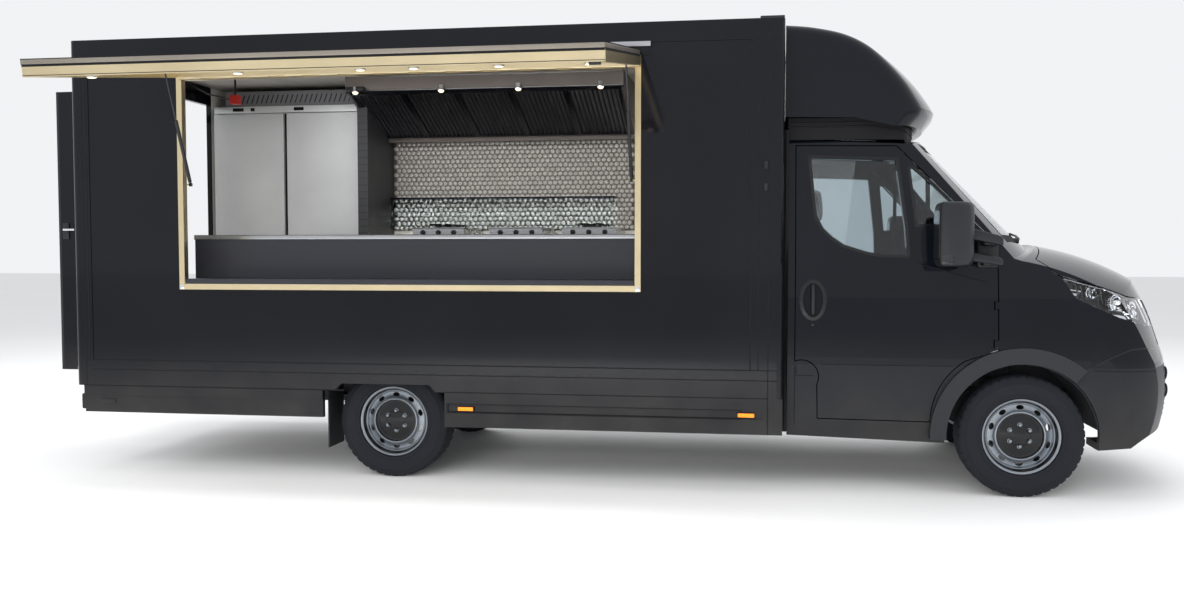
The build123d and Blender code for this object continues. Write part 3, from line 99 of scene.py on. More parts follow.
class Finish:
    """A procedural material: two tones mixed by noise, uneven gloss and a fine grain."""

    def __init__(self, name, dark, light, rough, metal=0.0, **sockets):
        self.material = bpy.data.materials.new(name)
        self.material.use_nodes = True
        self.tree = self.material.node_tree
        self.shader = self.tree.nodes["Principled BSDF"]
        self.shader.inputs["Metallic"].default_value = metal
        for socket, value in sockets.items():
            self.shader.inputs[socket.replace("_", " ")].default_value = value
        self.place = self.node("ShaderNodeTexCoord").outputs["Object"]
        self.dark = dark
        self.light = light
        self.rough = rough
        self.colour = None
        self.gloss = None

    def node(self, kind, **values):
        """A new node with some of its settings."""
        item = self.tree.nodes.new(kind)
        for key, value in values.items():
            setattr(item, key, value)
        return item

    def link(self, start, end):
        """Joins two sockets."""
        self.tree.links.new(start, end)

    def noise(self, scale, stretch=(1, 1, 1), detail=4):
        """Noise over the object's own place."""
        mapping = self.node("ShaderNodeMapping")
        mapping.inputs["Scale"].default_value = stretch
        self.link(self.place, mapping.inputs["Vector"])
        noise = self.node("ShaderNodeTexNoise")
        noise.inputs["Scale"].default_value = scale
        noise.inputs["Detail"].default_value = detail
        self.link(mapping.outputs["Vector"], noise.inputs["Vector"])
        return noise.outputs["Fac"]

    def spread(self, value, low, high, from_low=0.3, from_high=0.7):
        """A value moved to another range."""
        item = self.node("ShaderNodeMapRange")
        self.link(value, item.inputs["Value"])
        item.inputs["From Min"].default_value = from_low
        item.inputs["From Max"].default_value = from_high
        item.inputs["To Min"].default_value = low
        item.inputs["To Max"].default_value = high
        return item.outputs["Result"]

    def mixed(self, share, first, second):
        """Two colours or links mixed by a share."""
        item = self.node("ShaderNodeMix", data_type="RGBA")
        self.link(share, item.inputs["Factor"])
        for value, socket in ((first, item.inputs[6]), (second, item.inputs[7])):
            if isinstance(value, tuple):
                socket.default_value = value
            else:
                self.link(value, socket)
        return item.outputs[2]

    def maths(self, operation, *values):
        """One operation on links and numbers."""
        item = self.node("ShaderNodeMath", operation=operation)
        for value, socket in zip(values, item.inputs):
            if isinstance(value, float):
                socket.default_value = value
            else:
                self.link(value, socket)
        return item.outputs[0]

    def height(self):
        """Height on the object."""
        split = self.node("ShaderNodeSeparateXYZ")
        self.link(self.place, split.inputs["Vector"])
        return split.outputs["Z"]

    def over(self, share, tone):
        """Another tone laid over the colour by a share."""
        self.colour = self.mixed(share, self.colour, tone)
        self.link(self.colour, self.shader.inputs["Base Color"])

    def tones(self, scale, stretch=(1, 1, 1), uneven=0.06):
        """Colour and roughness from one noise."""
        noise = self.noise(scale, stretch)
        self.colour = self.mixed(self.spread(noise, 0, 1), self.dark, self.light)
        self.link(self.colour, self.shader.inputs["Base Color"])
        self.gloss = self.spread(noise, self.rough - uneven, self.rough + uneven)
        self.link(self.gloss, self.shader.inputs["Roughness"])
        return self

    def grain(self, scale, depth, stretch=(1, 1, 1)):
        """A fine raised grain."""
        bump = self.node("ShaderNodeBump")
        bump.inputs["Strength"].default_value = 1
        bump.inputs["Distance"].default_value = depth
        self.link(self.noise(scale, stretch, 2), bump.inputs["Height"])
        self.link(bump.outputs["Normal"], self.shader.inputs["Normal"])
        return self

    def grime(self, colour, low, high, most=0.6):
        """Road dust that fades out with height."""
        fade = self.spread(self.height(), most, 0, low, high)
        self.over(self.maths("MULTIPLY", fade, self.spread(self.noise(5), 0.3, 1)), colour)
        return self

    def satin_below(self, height, tone, rough):
        """A duller and paler lower part."""
        share = self.spread(self.height(), 1, 0, height - 0.0015, height + 0.0015)
        self.over(share, tone)
        self.link(self.maths("MULTIPLY_ADD", share, rough, self.gloss), self.shader.inputs["Roughness"])
        return self


DUST = linear(88, 84, 78)
SATIN_HEIGHT = 0.757


def paint(name, tone, satin=False):
    """Gloss coach paint with a faint ripple, and a satin lower part where asked."""
    dark = linear(*tone)
    light = linear(*[value + 4 for value in tone])
    finish = Finish(name, dark, light, 0.055, Specular_IOR_Level=0.24).tones(1.3, uneven=0.015)
    if satin:
        finish.satin_below(SATIN_HEIGHT, linear(25, 27, 31), 0.36)
    return finish.grain(90, 0.00002).grime(DUST, 0.3, 0.75, 0.22).material


def plastic(name, tone, rough=0.5, scale=520, depth=0.0002):
    """Moulded plastic with a fine grain."""
    dark = linear(*tone)
    light = linear(*[min(255, value * 1.06 + 3) for value in tone])
    return Finish(name, dark, light, rough, Specular_IOR_Level=0.4).tones(3).grain(scale, depth).material


def metal(name, tone, rough=0.3, stretch=(1, 1, 1), scale=60, depth=0.00001, spread=4, share=1.0):
    """Bare or anodised metal, brushed along one axis where stretched."""
    dark = linear(*[max(0, value - spread) for value in tone])
    light = linear(*[min(255, value + spread) for value in tone])
    finish = Finish(name, dark, light, rough, share)
    return finish.tones(scale, stretch, 0.02).grain(scale * 4, depth, stretch).material


def glass(name, tone, rough=0.005):
    """Tinted glass with faint dirt in its gloss."""
    finish = Finish(name, linear(*tone), linear(*[value + 3 for value in tone]), rough, IOR=1.45)
    finish.shader.inputs["Transmission Weight"].default_value = 1.0
    return finish.tones(3, uneven=0.004).material


def glow(name, tone, strength):
    """A lit lens."""
    finish = Finish(name, linear(*tone), linear(*tone), 0.3).tones(30)
    finish.shader.inputs["Emission Color"].default_value = linear(*tone)
    finish.shader.inputs["Emission Strength"].default_value = strength
    return finish.material


def rubber(name, tone, rough=0.75):
    """Dull rubber with a fine grain."""
    finish = Finish(
        name, linear(*tone), linear(*[value + 5 for value in tone]), rough, Specular_IOR_Level=0.3
    )
    return finish.tones(14).grain(260, 0.0004).material


ALONG = (0.03, 1, 1)
PAINT = paint("paint_gloss_black", (9, 11, 17))
PAINT_CAB = paint("paint_cab", (9, 11, 17), True)
PAINT_BOX = paint("paint_box_panel", (11, 12, 17))
SATIN = plastic("satin_black", (21, 22, 25), 0.4)
MATT = plastic("matt_black", (30, 31, 34), 0.6)
GLOSS = plastic("gloss_black_plastic", (12, 13, 15), 0.16, 900, 0.00003)
GOLD = metal("gold_anodised", (219, 203, 166), 0.34, scale=3)
EDGE = metal("lid_edge", (124, 118, 109), 0.42, scale=3, share=0.6)
GREY = plastic("grey_panel", (104, 104, 106), 0.5)
STEEL = metal("steel_brushed", (176, 178, 181), 0.27, ALONG)
STEEL_UP = metal("steel_fridge", (206, 208, 211), 0.36, scale=2.2, spread=7, share=0.6)
STEEL_DARK = metal("steel_filter", (66, 67, 76), 0.35)
FASCIA = metal("hood_fascia", (112, 105, 101), 0.4, scale=3, share=0.7)
ALUMINIUM = metal("aluminium", (190, 192, 196), 0.4, scale=3)
TILE = metal("tile_steel", (184, 181, 175), 0.34, (1, 1, 1), 24, 0.00002, 10, 0.6)
CHROME = metal("chrome", (224, 226, 230), 0.08, (1, 1, 1), 40, 0.00001, 6)
RIM = metal("rim_silver", (160, 166, 173), 0.38, (1, 1, 1), 120, 0.00003, 6)
IRON = metal("cast_iron", (78, 78, 80), 0.6, (1, 1, 1), 80, 0.0008)
CHASSIS = plastic("chassis_paint", (34, 35, 37), 0.5, 60, 0.0006)
SLATE = plastic("slate_panel", (34, 35, 41), 0.42, 300, 0.0001)
COLUMN = plastic("column_panel", (44, 44, 46), 0.45)
PANE = glass("splash_pane", (226, 232, 234))
PANE.node_tree.nodes["Principled BSDF"].inputs["IOR"].default_value = 1.12
PANEL = plastic("pale_panel", (196, 192, 184), 0.45, 240, 0.0001)
VINYL = plastic("floor_vinyl", (72, 73, 76), 0.6, 180, 0.0008)
RUBBER = rubber("seal_rubber", (14, 14, 16))
TYRE = rubber("tyre_rubber", (22, 24, 29), 0.8)
DASH = plastic("dash_plastic", (42, 43, 47), 0.6, 700, 0.0003)
MIRROR = metal("mirror_glass", (112, 118, 124), 0.04, (1, 1, 1), 8, 0.000002, 3)
GLASS = glass("tinted_glass", (196, 206, 210))
SCREEN = glass("screen_glass", (205, 214, 214))
CLEAR = glass("clear_lens", (232, 236, 240))
RED_BOX = plastic("red_box", (150, 30, 26), 0.4)
AMBER = glow("amber_lens", (255, 132, 22), 0.5)
RED = glass("red_lens", (190, 16, 14), 0.12)
WARM = glow("warm_lamp", (255, 232, 190), 2.2)


def woven(name, tone):
    """Seat cloth: crossed threads from two waves, with a soft sheen."""
    finish = Finish(name, linear(*tone), linear(*[value + 16 for value in tone]), 0.85, Sheen_Weight=0.4)
    finish.tones(40)
    heights = []
    for axis in ("X", "Y"):
        wave = finish.node("ShaderNodeTexWave", bands_direction=axis)
        wave.inputs["Scale"].default_value = 120
        wave.inputs["Distortion"].default_value = 0.6
        finish.link(finish.place, wave.inputs["Vector"])
        heights.append(wave.outputs["Fac"])
    bump = finish.node("ShaderNodeBump")
    bump.inputs["Distance"].default_value = 0.0008
    finish.link(finish.maths("MULTIPLY", *heights), bump.inputs["Height"])
    finish.link(bump.outputs["Normal"], finish.shader.inputs["Normal"])
    return finish.material


CLOTH = woven("seat_cloth", (40, 42, 47))


# Shapes

class Piece:
    """One visible piece, put together from closed forms in the truck's own frame."""

    def __init__(self, name):
        self.name = name
        self.mesh = bmesh.new()
        self.materials = []

    def index(self, material):
        """Number of a material on this piece."""
        if material not in self.materials:
            self.materials.append(material)
        return self.materials.index(material)

    def absorb(self, form):
        """Joins a finished form to the piece's mesh."""
        data = mesh_of(form)
        self.mesh.from_mesh(data)
        bpy.data.meshes.remove(data)
        return self

    def take(self, form, material, turn=None):
        """Adds a form made elsewhere, and lets go of it."""
        if turn is not None:
            bmesh.ops.transform(form, matrix=turn, verts=form.verts)
        bmesh.ops.recalc_face_normals(form, faces=form.faces)
        number = self.index(material)
        for face in form.faces:
            face.material_index = number
            face.smooth = True
        return self.absorb(form)

    def block(self, x, y, z, material, bevel=0.003, turn=None):
        """A box between pairs of values, with rounded edges."""
        form = bmesh.new()
        low = (min(x), min(y), min(z))
        size = (abs(x[1] - x[0]), abs(y[1] - y[0]), abs(z[1] - z[0]))
        bmesh.ops.create_cube(form, size=1)
        for vert in form.verts:
            vert.co = Vector([low[i] + (vert.co[i] + 0.5) * size[i] for i in range(3)])
        round_edges(form, min(bevel, min(size) * 0.45))
        return self.take(form, material, turn)

    def blocks(self, rows, material, bevel, turn=None):
        """Boxes of one look. Columns of the rows: x, y, z."""
        for x, y, z in rows:
            self.block(x, y, z, material, bevel, turn)

    def prism(self, points, axis, low, high, material, bevel=0.002, turn=None):
        """An outline pushed along x, y or z. Its points hold the other two places in order."""
        form = bmesh.new()
        rings = []
        for along in (low, high):
            rings.append([form.verts.new(spread_out(point, axis, along)) for point in points])
        form.faces.new(rings[0])
        form.faces.new(list(reversed(rings[1])))
        for i in range(len(points)):
            j = (i + 1) % len(points)
            form.faces.new((rings[0][i], rings[1][i], rings[1][j], rings[0][j]))
        bmesh.ops.recalc_face_normals(form, faces=form.faces)
        if bevel:
            round_edges(form, bevel)
        return self.take(form, material, turn)

    def lathe(self, rows, material, centre=(0, 0, 0), axis="y", sign=1, segments=48, closed=False, dips=None):
        """Rows of radius and distance along the axis, turned round it. A row may name a material."""
        form = bmesh.new()
        base = self.index(material)
        rings = []
        for row in rows:
            ring = []
            for step in range(segments):
                radius = row[0] - (dips(row, step) if dips else 0)
                angle = 2 * pi * step / segments
                flat = (radius * cos(angle), radius * sin(angle))
                ring.append(form.verts.new(Vector(centre) + spread_out(flat, axis, sign * row[1])))
            rings.append(ring)
        pairs = list(zip(range(len(rows) - 1), range(1, len(rows))))
        if closed:
            pairs.append((len(rows) - 1, 0))
        numbers = []
        for first, second in pairs:
            number = base
            if len(rows[second]) > 2 and isinstance(rows[second][2], bpy.types.Material):
                number = self.index(rows[second][2])
            for step in range(segments):
                after = (step + 1) % segments
                face = form.faces.new(
                    (rings[first][step], rings[first][after], rings[second][after], rings[second][step])
                )
                face.smooth = True
                numbers.append((face, number))
        if not closed:
            for ring in (rings[0], rings[-1]):
                face = form.faces.new(ring)
                numbers.append((face, base if ring is rings[0] else number))
        bmesh.ops.recalc_face_normals(form, faces=form.faces)
        for face, number in numbers:
            face.material_index = number
            face.smooth = True
        return self.absorb(form)

    def tube(self, points, radius, material, sides=10, closed=False):
        """A round bar through points. The radius may be a list, one for each point."""
        points = [Vector(point) for point in points]
        radii = radius if isinstance(radius, (list, tuple)) else [radius] * len(points)
        form = bmesh.new()
        rings = []
        normal = None
        count = len(points)
        for i, point in enumerate(points):
            before = points[i - 1] if (i or closed) else point
            after = points[(i + 1) % count] if (i < count - 1 or closed) else point
            way = (after - before).normalized()
            if normal is None:
                normal = way.orthogonal().normalized()
            normal = (normal - way * normal.dot(way)).normalized()
            across = way.cross(normal)
            ring = []
            for step in range(sides):
                angle = 2 * pi * step / sides
                ring.append(form.verts.new(point + (normal * cos(angle) + across * sin(angle)) * radii[i]))
            rings.append(ring)
        last = count if closed else count - 1
        for i in range(last):
            bridge(form, rings[i], rings[(i + 1) % count])
        if not closed:
            form.faces.new(rings[0])
            form.faces.new(rings[-1])
        return self.take(form, material)

    def band(self, outer, inner, back, material, closed=True):
        """A strip between two lines of points, with a back line for each to give it thickness."""
        form = bmesh.new()
        rows = []
        for line in (outer, inner):
            rows.append([form.verts.new(point) for point in line])
            rows.append([form.verts.new(Vector(point) + Vector(back)) for point in line])
        front_out, back_out, front_in, back_in = rows
        count = len(outer)
        last = count if closed else count - 1
        for i in range(last):
            j = (i + 1) % count
            form.faces.new((front_out[i], front_out[j], front_in[j], front_in[i]))
            form.faces.new((back_out[i], back_in[i], back_in[j], back_out[j]))
            form.faces.new((front_out[i], back_out[i], back_out[j], front_out[j]))
            form.faces.new((front_in[i], front_in[j], back_in[j], back_in[i]))
        if not closed:
            form.faces.new((front_out[0], front_in[0], back_in[0], back_out[0]))
            form.faces.new((front_out[-1], back_out[-1], back_in[-1], front_in[-1]))
        return self.take(form, material)

    def merge(self, other):
        """Adds another piece's forms with their own materials, and lets go of it."""
        numbers = [self.index(material) for material in other.materials]
        for face in other.mesh.faces:
            face.material_index = numbers[face.material_index]
        return self.absorb(other.mesh)

    def twin(self, name):
        """The same piece on the other side of the truck."""
        other = Piece(name)
        other.materials = list(self.materials)
        other.mesh = self.mesh.copy()
        bmesh.ops.scale(other.mesh, vec=(1, -1, 1), verts=other.mesh.verts)
        bmesh.ops.reverse_faces(other.mesh, faces=other.mesh.faces)
        return other

    def put_both(self, body, node, replaces=(), sharp=32):
        """Makes the objects of a piece of the right side and of its twin on the left."""
        name, other_body, other_node, *other_replaces = [
            word.replace("right", "left") for word in (self.name, body, node, *replaces)
        ]
        twin = self.twin(name)
        self.put(body, node, replaces, sharp)
        twin.put(other_body, other_node, other_replaces, sharp)

    def put(self, body, node, replaces=(), sharp=32):
        """Makes the piece's object, riding on a body. The node is not used."""
        data = mesh_of(self.mesh, self.name)
        data.transform(Matrix.Translation(SHIFT))
        for material in self.materials:
            data.materials.append(material)
        data.set_sharp_from_angle(angle=radians(sharp))
        obj = show(bpy.data.objects.new(self.name, data))
        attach(obj, body)
        if replaces:
            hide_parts(*replaces)
        return obj


def loft(form, rings):
    """A closed form through rings of points, with a face at either end."""
    for first, second in zip(rings, rings[1:]):
        bridge(form, first, second)
    form.faces.new(list(reversed(rings[0])))
    form.faces.new(rings[-1])


def bridge(form, first, second):
    """Faces all round between two rings of points."""
    for i in range(len(first)):
        j = (i + 1) % len(first)
        form.faces.new((first[i], first[j], second[j], second[i]))


def spread_out(flat, axis, along):
    """A point from two places across an axis and one along it."""
    order = {"x": (along, flat[0], flat[1]), "y": (flat[0], along, flat[1]), "z": (flat[0], flat[1], along)}
    return Vector(order[axis])


def round_edges(form, width, segments=2):
    """Rounds the sharp edges of a form."""
    if width <= 0:
        return
    sharp = [edge for edge in form.edges if edge.is_manifold and edge.calc_face_angle(0) > radians(28)]
    bmesh.ops.bevel(
        form, geom=sharp, offset=width, segments=segments, profile=0.5, affect="EDGES", clamp_overlap=True
    )


def ellipse(centre, half, count=40):
    """Points round an upright or flat oval."""
    return [
        (centre[0] + half[0] * cos(2 * pi * i / count), centre[1] + half[1] * sin(2 * pi * i / count))
        for i in range(count)
    ]


def around(middle, half):
    """The two places at one distance from a middle."""
    return middle - half, middle + half


def rectangle(across, up):
    """Corners of a rectangle, from the lower left one round."""
    return [(across[0], up[0]), (across[1], up[0]), (across[1], up[1]), (across[0], up[1])]


def grown(points, width):
    """A closed flat outline moved outwards by a width."""
    area = 0
    count = len(points)
    for i in range(count):
        a, b = points[i], points[(i + 1) % count]
        area += a[0] * b[1] - b[0] * a[1]
    side = 1 if area > 0 else -1
    result = []
    for i in range(count):
        before, here, after = (Vector(points[i - 1]), Vector(points[i]), Vector(points[(i + 1) % count]))
        first = (here - before).normalized()
        second = (after - here).normalized()
        normal = Vector((first.y + second.y, -first.x - second.x)).normalized()
        stretch = max(0.35, normal.dot(Vector((second.y, -second.x))))
        result.append(tuple(here + normal * (side * width / stretch)))
    return result


def dense(points, step, closed=True):
    """The same line with more points along its runs."""
    result = []
    last = len(points) if closed else len(points) - 1
    for i in range(last):
        a, b = Vector(points[i]), Vector(points[(i + 1) % len(points)])
        parts = max(1, ceil((b - a).length / step))
        for k in range(parts):
            result.append(tuple(a.lerp(b, k / parts)))
    if not closed:
        result.append(tuple(points[-1]))
    return result


class Skin:
    """Finds the outside of some CAD nodes along a ray."""

    def __init__(self, *names):
        points = []
        faces = []
        for name in names:
            data = NODES[name].data
            start = len(points)
            points.extend(vert.co - SHIFT for vert in data.vertices)
            faces.extend([start + i for i in face.vertices] for face in data.polygons)
        self.tree = BVHTree.FromPolygons(points, faces)

    def hit(self, start, way):
        """Where a ray first meets the nodes, or None."""
        return self.tree.ray_cast(Vector(start), Vector(way).normalized())[0]

    def side(self, x, z, proud=0.0):
        """Point on the right side at a place in side view."""
        found = self.hit((x, -2, z), (0, 1, 0))
        return None if found is None else found + Vector((0, -proud, 0))

    def front(self, y, z, proud=0.0):
        """Point on the front at a place in front view."""
        found = self.hit((3, y, z), (-1, 0, 0))
        return None if found is None else found + Vector((proud, 0, 0))

    def side_line(self, points, step, proud):
        """An open line in side view laid on the right side, leaving out points that miss it."""
        found = [self.side(x, z, proud) for x, z in dense(points, step, False)]
        return [point for point in found if point is not None]

    def front_line(self, half, parts, z, proud):
        """Points right across the front at one height, leaving out those that miss."""
        found = [self.front(2 * half * i / parts - half, z, proud) for i in range(parts + 1)]
        return [point for point in found if point is not None]


def facing(place, way):
    """Matrix that puts a form made about z at a place, looking one way."""
    return Matrix.Translation(place) @ Vector((0, 0, 1)).rotation_difference(way).to_matrix().to_4x4()


def place_lathe(piece, rows, material, matrix, closed):
    """A turned form about z, put in place by a matrix."""
    part = Piece("part")
    part.lathe(rows, material, (0, 0, 0), "z", 1, 36, closed)
    piece.take(part.mesh, material, matrix)


def dress(material, *names):
    """Gives CAD nodes one material."""
    for name in names:
        data = NODES[name].data
        data.materials.clear()
        data.materials.append(material)


# Places that the frame gives, and from BOX_HALF on those of the drawings
BOX_LOW, BOX_HIGH = span("box_frame")
HATCH_LOW, HATCH_HIGH = span("hatch_frame")
AXLE_Z = middle_of("tyre_front_right").z
WHEEL_Y = abs(span("tyre_front_right")[0].y + span("tyre_front_right")[1].y) / 2
REAR_AXLE_X = (middle_of("tyre_rear_right") - SHIFT).x
BOX_HALF = 1.1
WALL = 0.04
FLOOR_TOP = 0.66
CEILING = BOX_HIGH.z - WALL
INNER_Y = 1.06


def dress_nodes():
    """Materials of the CAD nodes that stay in view."""
    dress(PAINT_CAB, "cab_shell", "door_right", "door_left", "front_bumper")
    dress(PAINT, "bonnet")
    dress(
        PAINT_BOX, "box_frame", "wall_right", "wall_left", "wall_front", "wall_rear", "box_roof",
        "rear_door"
    )
    dress(PAINT_BOX, "skirts", "lid_skin")
    dress(GOLD, "hatch_frame", "lid_rim")
    dress(MATT, "arch_trims", "grille")
    dress(CHASSIS, "chassis_frame", "rear_axle", "front_axle")
    dress(IRON, "engine", "driveline", "knuckle_right", "knuckle_left")
    dress(MATT, "fuel_tank")
    dress(VINYL, "box_floor")
    dress(DASH, "dashboard")
    dress(GLASS, "door_glass_right", "door_glass_left")
    dress(SCREEN, "windscreen")
    dress(CLEAR, "headlamps")
    dress(STEEL, "serving_shelf", "back_counter")
    dress(SLATE, "front_counter")
    dress(COLUMN, "service_column")
    dress(STEEL_UP, "fridge", "fridge_door_rear", "fridge_door_front")
    dress(FASCIA, "hood")
    dress(STEEL_DARK, "splashback")
    dress(GLOSS, "strut_cylinder_rear", "strut_cylinder_front")
    dress(STEEL_DARK, "strut_rod_rear", "strut_rod_front")


# Wheels

TREAD_SEGMENTS = 210
TREAD_PITCH = 5
TREAD_NOTCH = 0.0065
# Half of the tyre's section, from the bead to the middle. Columns: radius, distance from
# the middle plane, and 1 where the shoulder notches cut it.
TYRE_HALF = [
    (0.2066, 0.084, 0), (0.212, 0.0895, 0), (0.2215, 0.0915, 0), (0.226, 0.103, 0), (0.239, 0.107, 0),
    (0.243, 0.1098, 0), (0.247, 0.1075, 0), (0.262, 0.1108, 0), (0.285, 0.1122, 0), (0.303, 0.1098, 0),
    (0.306, 0.1112, 0), (0.309, 0.1085, 0), (0.322, 0.1045, 0), (0.336, 0.0975, 0), (0.344, 0.0925, 1),
    (0.3495, 0.086, 1), (0.3512, 0.078, 1), (0.3516, 0.061, 1), (0.3450, 0.0595, 0), (0.3450, 0.0525, 0),
    (0.3522, 0.051, 0), (0.3526, 0.030, 0), (0.3455, 0.0285, 0), (0.3455, 0.0215, 0), (0.3528, 0.020, 0),
]


def tyre_dips(row, step):
    """How deep a shoulder notch is at one step round the tyre."""
    return TREAD_NOTCH if row[2] == 1 and step % TREAD_PITCH == 0 else 0


def build_tyre(name, x, side):
    """One tyre with ribs, grooves and shoulder notches."""
    rows = TYRE_HALF + [(radius, -out, notch) for radius, out, notch in reversed(TYRE_HALF)]
    piece = Piece("dressed_tyre_" + name)
    piece.lathe(
        rows, TYRE, (x, side * WHEEL_Y, AXLE_Z), "y", side, TREAD_SEGMENTS, closed=True, dips=tyre_dips
    )
    piece.put("wheel_" + name, "tyre_" + name, ["tyre_" + name], sharp=40)


HOLES = 10
HOLE_CIRCLE = 0.165
NUTS = 6
NUT_CIRCLE = 0.0625
# Rim section. Columns: radius, distance outwards, material where it isn't the rim's own.
RIM_ROWS = [
    (0.2195, -0.0945), (0.2195, -0.089), (0.2062, -0.0855), (0.2062, 0.0855), (0.2165, 0.089),
    (0.2185, 0.0915), (0.2195, 0.0945), (0.2165, 0.0965), (0.2125, 0.0955), (0.209, 0.091),
    (0.2045, 0.0885), (0.2015, 0.082, GLOSS), (0.1985, 0.064, GLOSS), (0.1955, 0.0605, GLOSS),
    (0.192, 0.0625), (0.1885, 0.0605), (0.186, 0.0485), (0.181, 0.0435), (0.166, 0.0455),
    (0.150, 0.0525), (0.1445, 0.0585), (0.1415, 0.0655), (0.1375, 0.0672), (0.1335, 0.0655),
    (0.1305, 0.052), (0.1275, 0.0465, GLOSS), (0.112, 0.0455, GLOSS), (0.1085, 0.0478, GLOSS),
    (0.066, 0.0470, GLOSS), (0.062, 0.0500, GLOSS), (0.0575, 0.0535, GLOSS), (0.031, 0.0535, GLOSS),
    (0.031, 0.0335), (0.126, 0.0345), (0.145, 0.0405), (0.184, 0.0325), (0.1885, 0.036),
    (0.1895, -0.080), (0.2035, -0.0935),
]


def oval_prism(form, centre, half, y, turn):
    """Adds an oval bar along y, its long side round the wheel."""
    rings = []
    for along in y:
        ring = []
        for u, v in ellipse((0, 0), half, 20):
            across = turn @ Vector((HOLE_CIRCLE + u, 0, v))
            ring.append(form.verts.new(Vector(centre) + Vector((across.x, along, across.z))))
        rings.append(ring)
    loft(form, rings)


def finished(obj):
    """The mesh of an object with its modifiers applied."""
    bpy.context.view_layer.update()
    graph = bpy.context.evaluated_depsgraph_get()
    return bpy.data.meshes.new_from_object(obj.evaluated_get(graph))


def cut(obj, cutter):
    """One mesh object's form with another's taken out."""
    modifier = obj.modifiers.new("cut", "BOOLEAN")
    modifier.operation = "DIFFERENCE"
    modifier.object = cutter
    modifier.solver = "EXACT"
    return finished(obj)


def build_rim_mesh():
    """The rim about the origin, outer face to negative y, with its hand holes cut."""
    piece = Piece("rim_form")
    piece.lathe(RIM_ROWS, RIM, (0, 0, 0), "y", -1, 120, closed=True)
    data = mesh_of(piece.mesh, "rim_form")
    for material in piece.materials:
        data.materials.append(material)
    rim = show(bpy.data.objects.new("rim_form", data))
    form = bmesh.new()
    for index in range(HOLES):
        turn = Matrix.Rotation(2 * pi * (index + 0.5) / HOLES, 4, "Y")
        oval_prism(form, (0, 0, 0), (0.0135, 0.0215), (-0.09, 0.02), turn)
    bmesh.ops.recalc_face_normals(form, faces=form.faces)
    cutter = show(bpy.data.objects.new("holes_form", mesh_of(form, "holes_form")))
    result = cut(rim, cutter)
    for obj in (rim, cutter):
        bpy.data.objects.remove(obj)
    return result


def build_rim(name, x, side, rim_data):
    """One rim with its nuts, cap and brake disc."""
    piece = Piece("dressed_rim_" + name)
    for material in rim_data.materials:
        piece.index(material)
    piece.mesh.from_mesh(rim_data)
    for index in range(NUTS):
        angle = 2 * pi * index / NUTS + pi / 6
        centre = (NUT_CIRCLE * cos(angle), 0, NUT_CIRCLE * sin(angle))
        rows = [
            (0.0140, 0.045), (0.0140, 0.0520), (0.0112, 0.053), (0.0108, 0.064), (0.0080, 0.068),
            (0.003, 0.0695)
        ]
        piece.lathe(rows, RIM, centre, "y", -1, 18)
    piece.lathe(
        [(0.036, 0.040), (0.036, 0.0535), (0.031, 0.0550), (0.001, 0.0552)], GLOSS, (0, 0, 0), "y", -1, 48
    )
    disc = [
        (0.138, -0.028), (0.138, -0.0145), (0.062, -0.0145), (0.060, 0.034), (0.032, 0.034),
        (0.032, -0.0285)
    ]
    piece.lathe(disc, IRON, (0, 0, 0), "y", -1, 72, closed=True)
    turn = Matrix.Identity(4) if side < 0 else Matrix.Rotation(pi, 4, "Z")
    place = Matrix.Translation((x, side * WHEEL_Y, AXLE_Z)) @ turn
    bmesh.ops.transform(piece.mesh, matrix=place, verts=piece.mesh.verts)
    piece.put("wheel_" + name, "rim_" + name, ["rim_" + name], sharp=40)


def build_wheels():
    """Four tyres and rims."""
    rim_data = build_rim_mesh()
    for end, x in (("front", 0), ("rear", REAR_AXLE_X)):
        for side_name, side in (("right", -1), ("left", 1)):
            build_tyre(end + "_" + side_name, x, side)
            build_rim(end + "_" + side_name, x, side, rim_data)


# Cab

WINDOW = [
    (-1.198, 1.968), (-0.714, 1.948), (-0.664, 1.56), (-0.655, 1.40), (-0.802, 1.404), (-0.880, 1.418),
    (-0.950, 1.440), (-1.010, 1.460), (-1.075, 1.505), (-1.128, 1.558), (-1.165, 1.631),
]
QUARTER = [
    (-0.63, 1.900), (-0.590, 1.904), (-0.555, 1.865), (-0.352, 1.655), (-0.340, 1.590), (-0.592, 1.575)
]
HANDLE_CENTRE = (-1.185, 1.134)


def flat_band(piece, skin, points, width, proud, material):
    """A flat strip round an outline on the right side."""
    line = dense(points, 0.03)
    pairs = []
    for a, b in zip(grown(line, width), line):
        first = skin.side(*a)
        if first is not None:
            second = Vector((b[0], first.y, b[1]))
            pairs.append((first + Vector((0, -proud, 0)), second + Vector((0, -proud, 0))))
    piece.band([a for a, _ in pairs], [b for _, b in pairs], (0, proud + 0.004, 0), material)


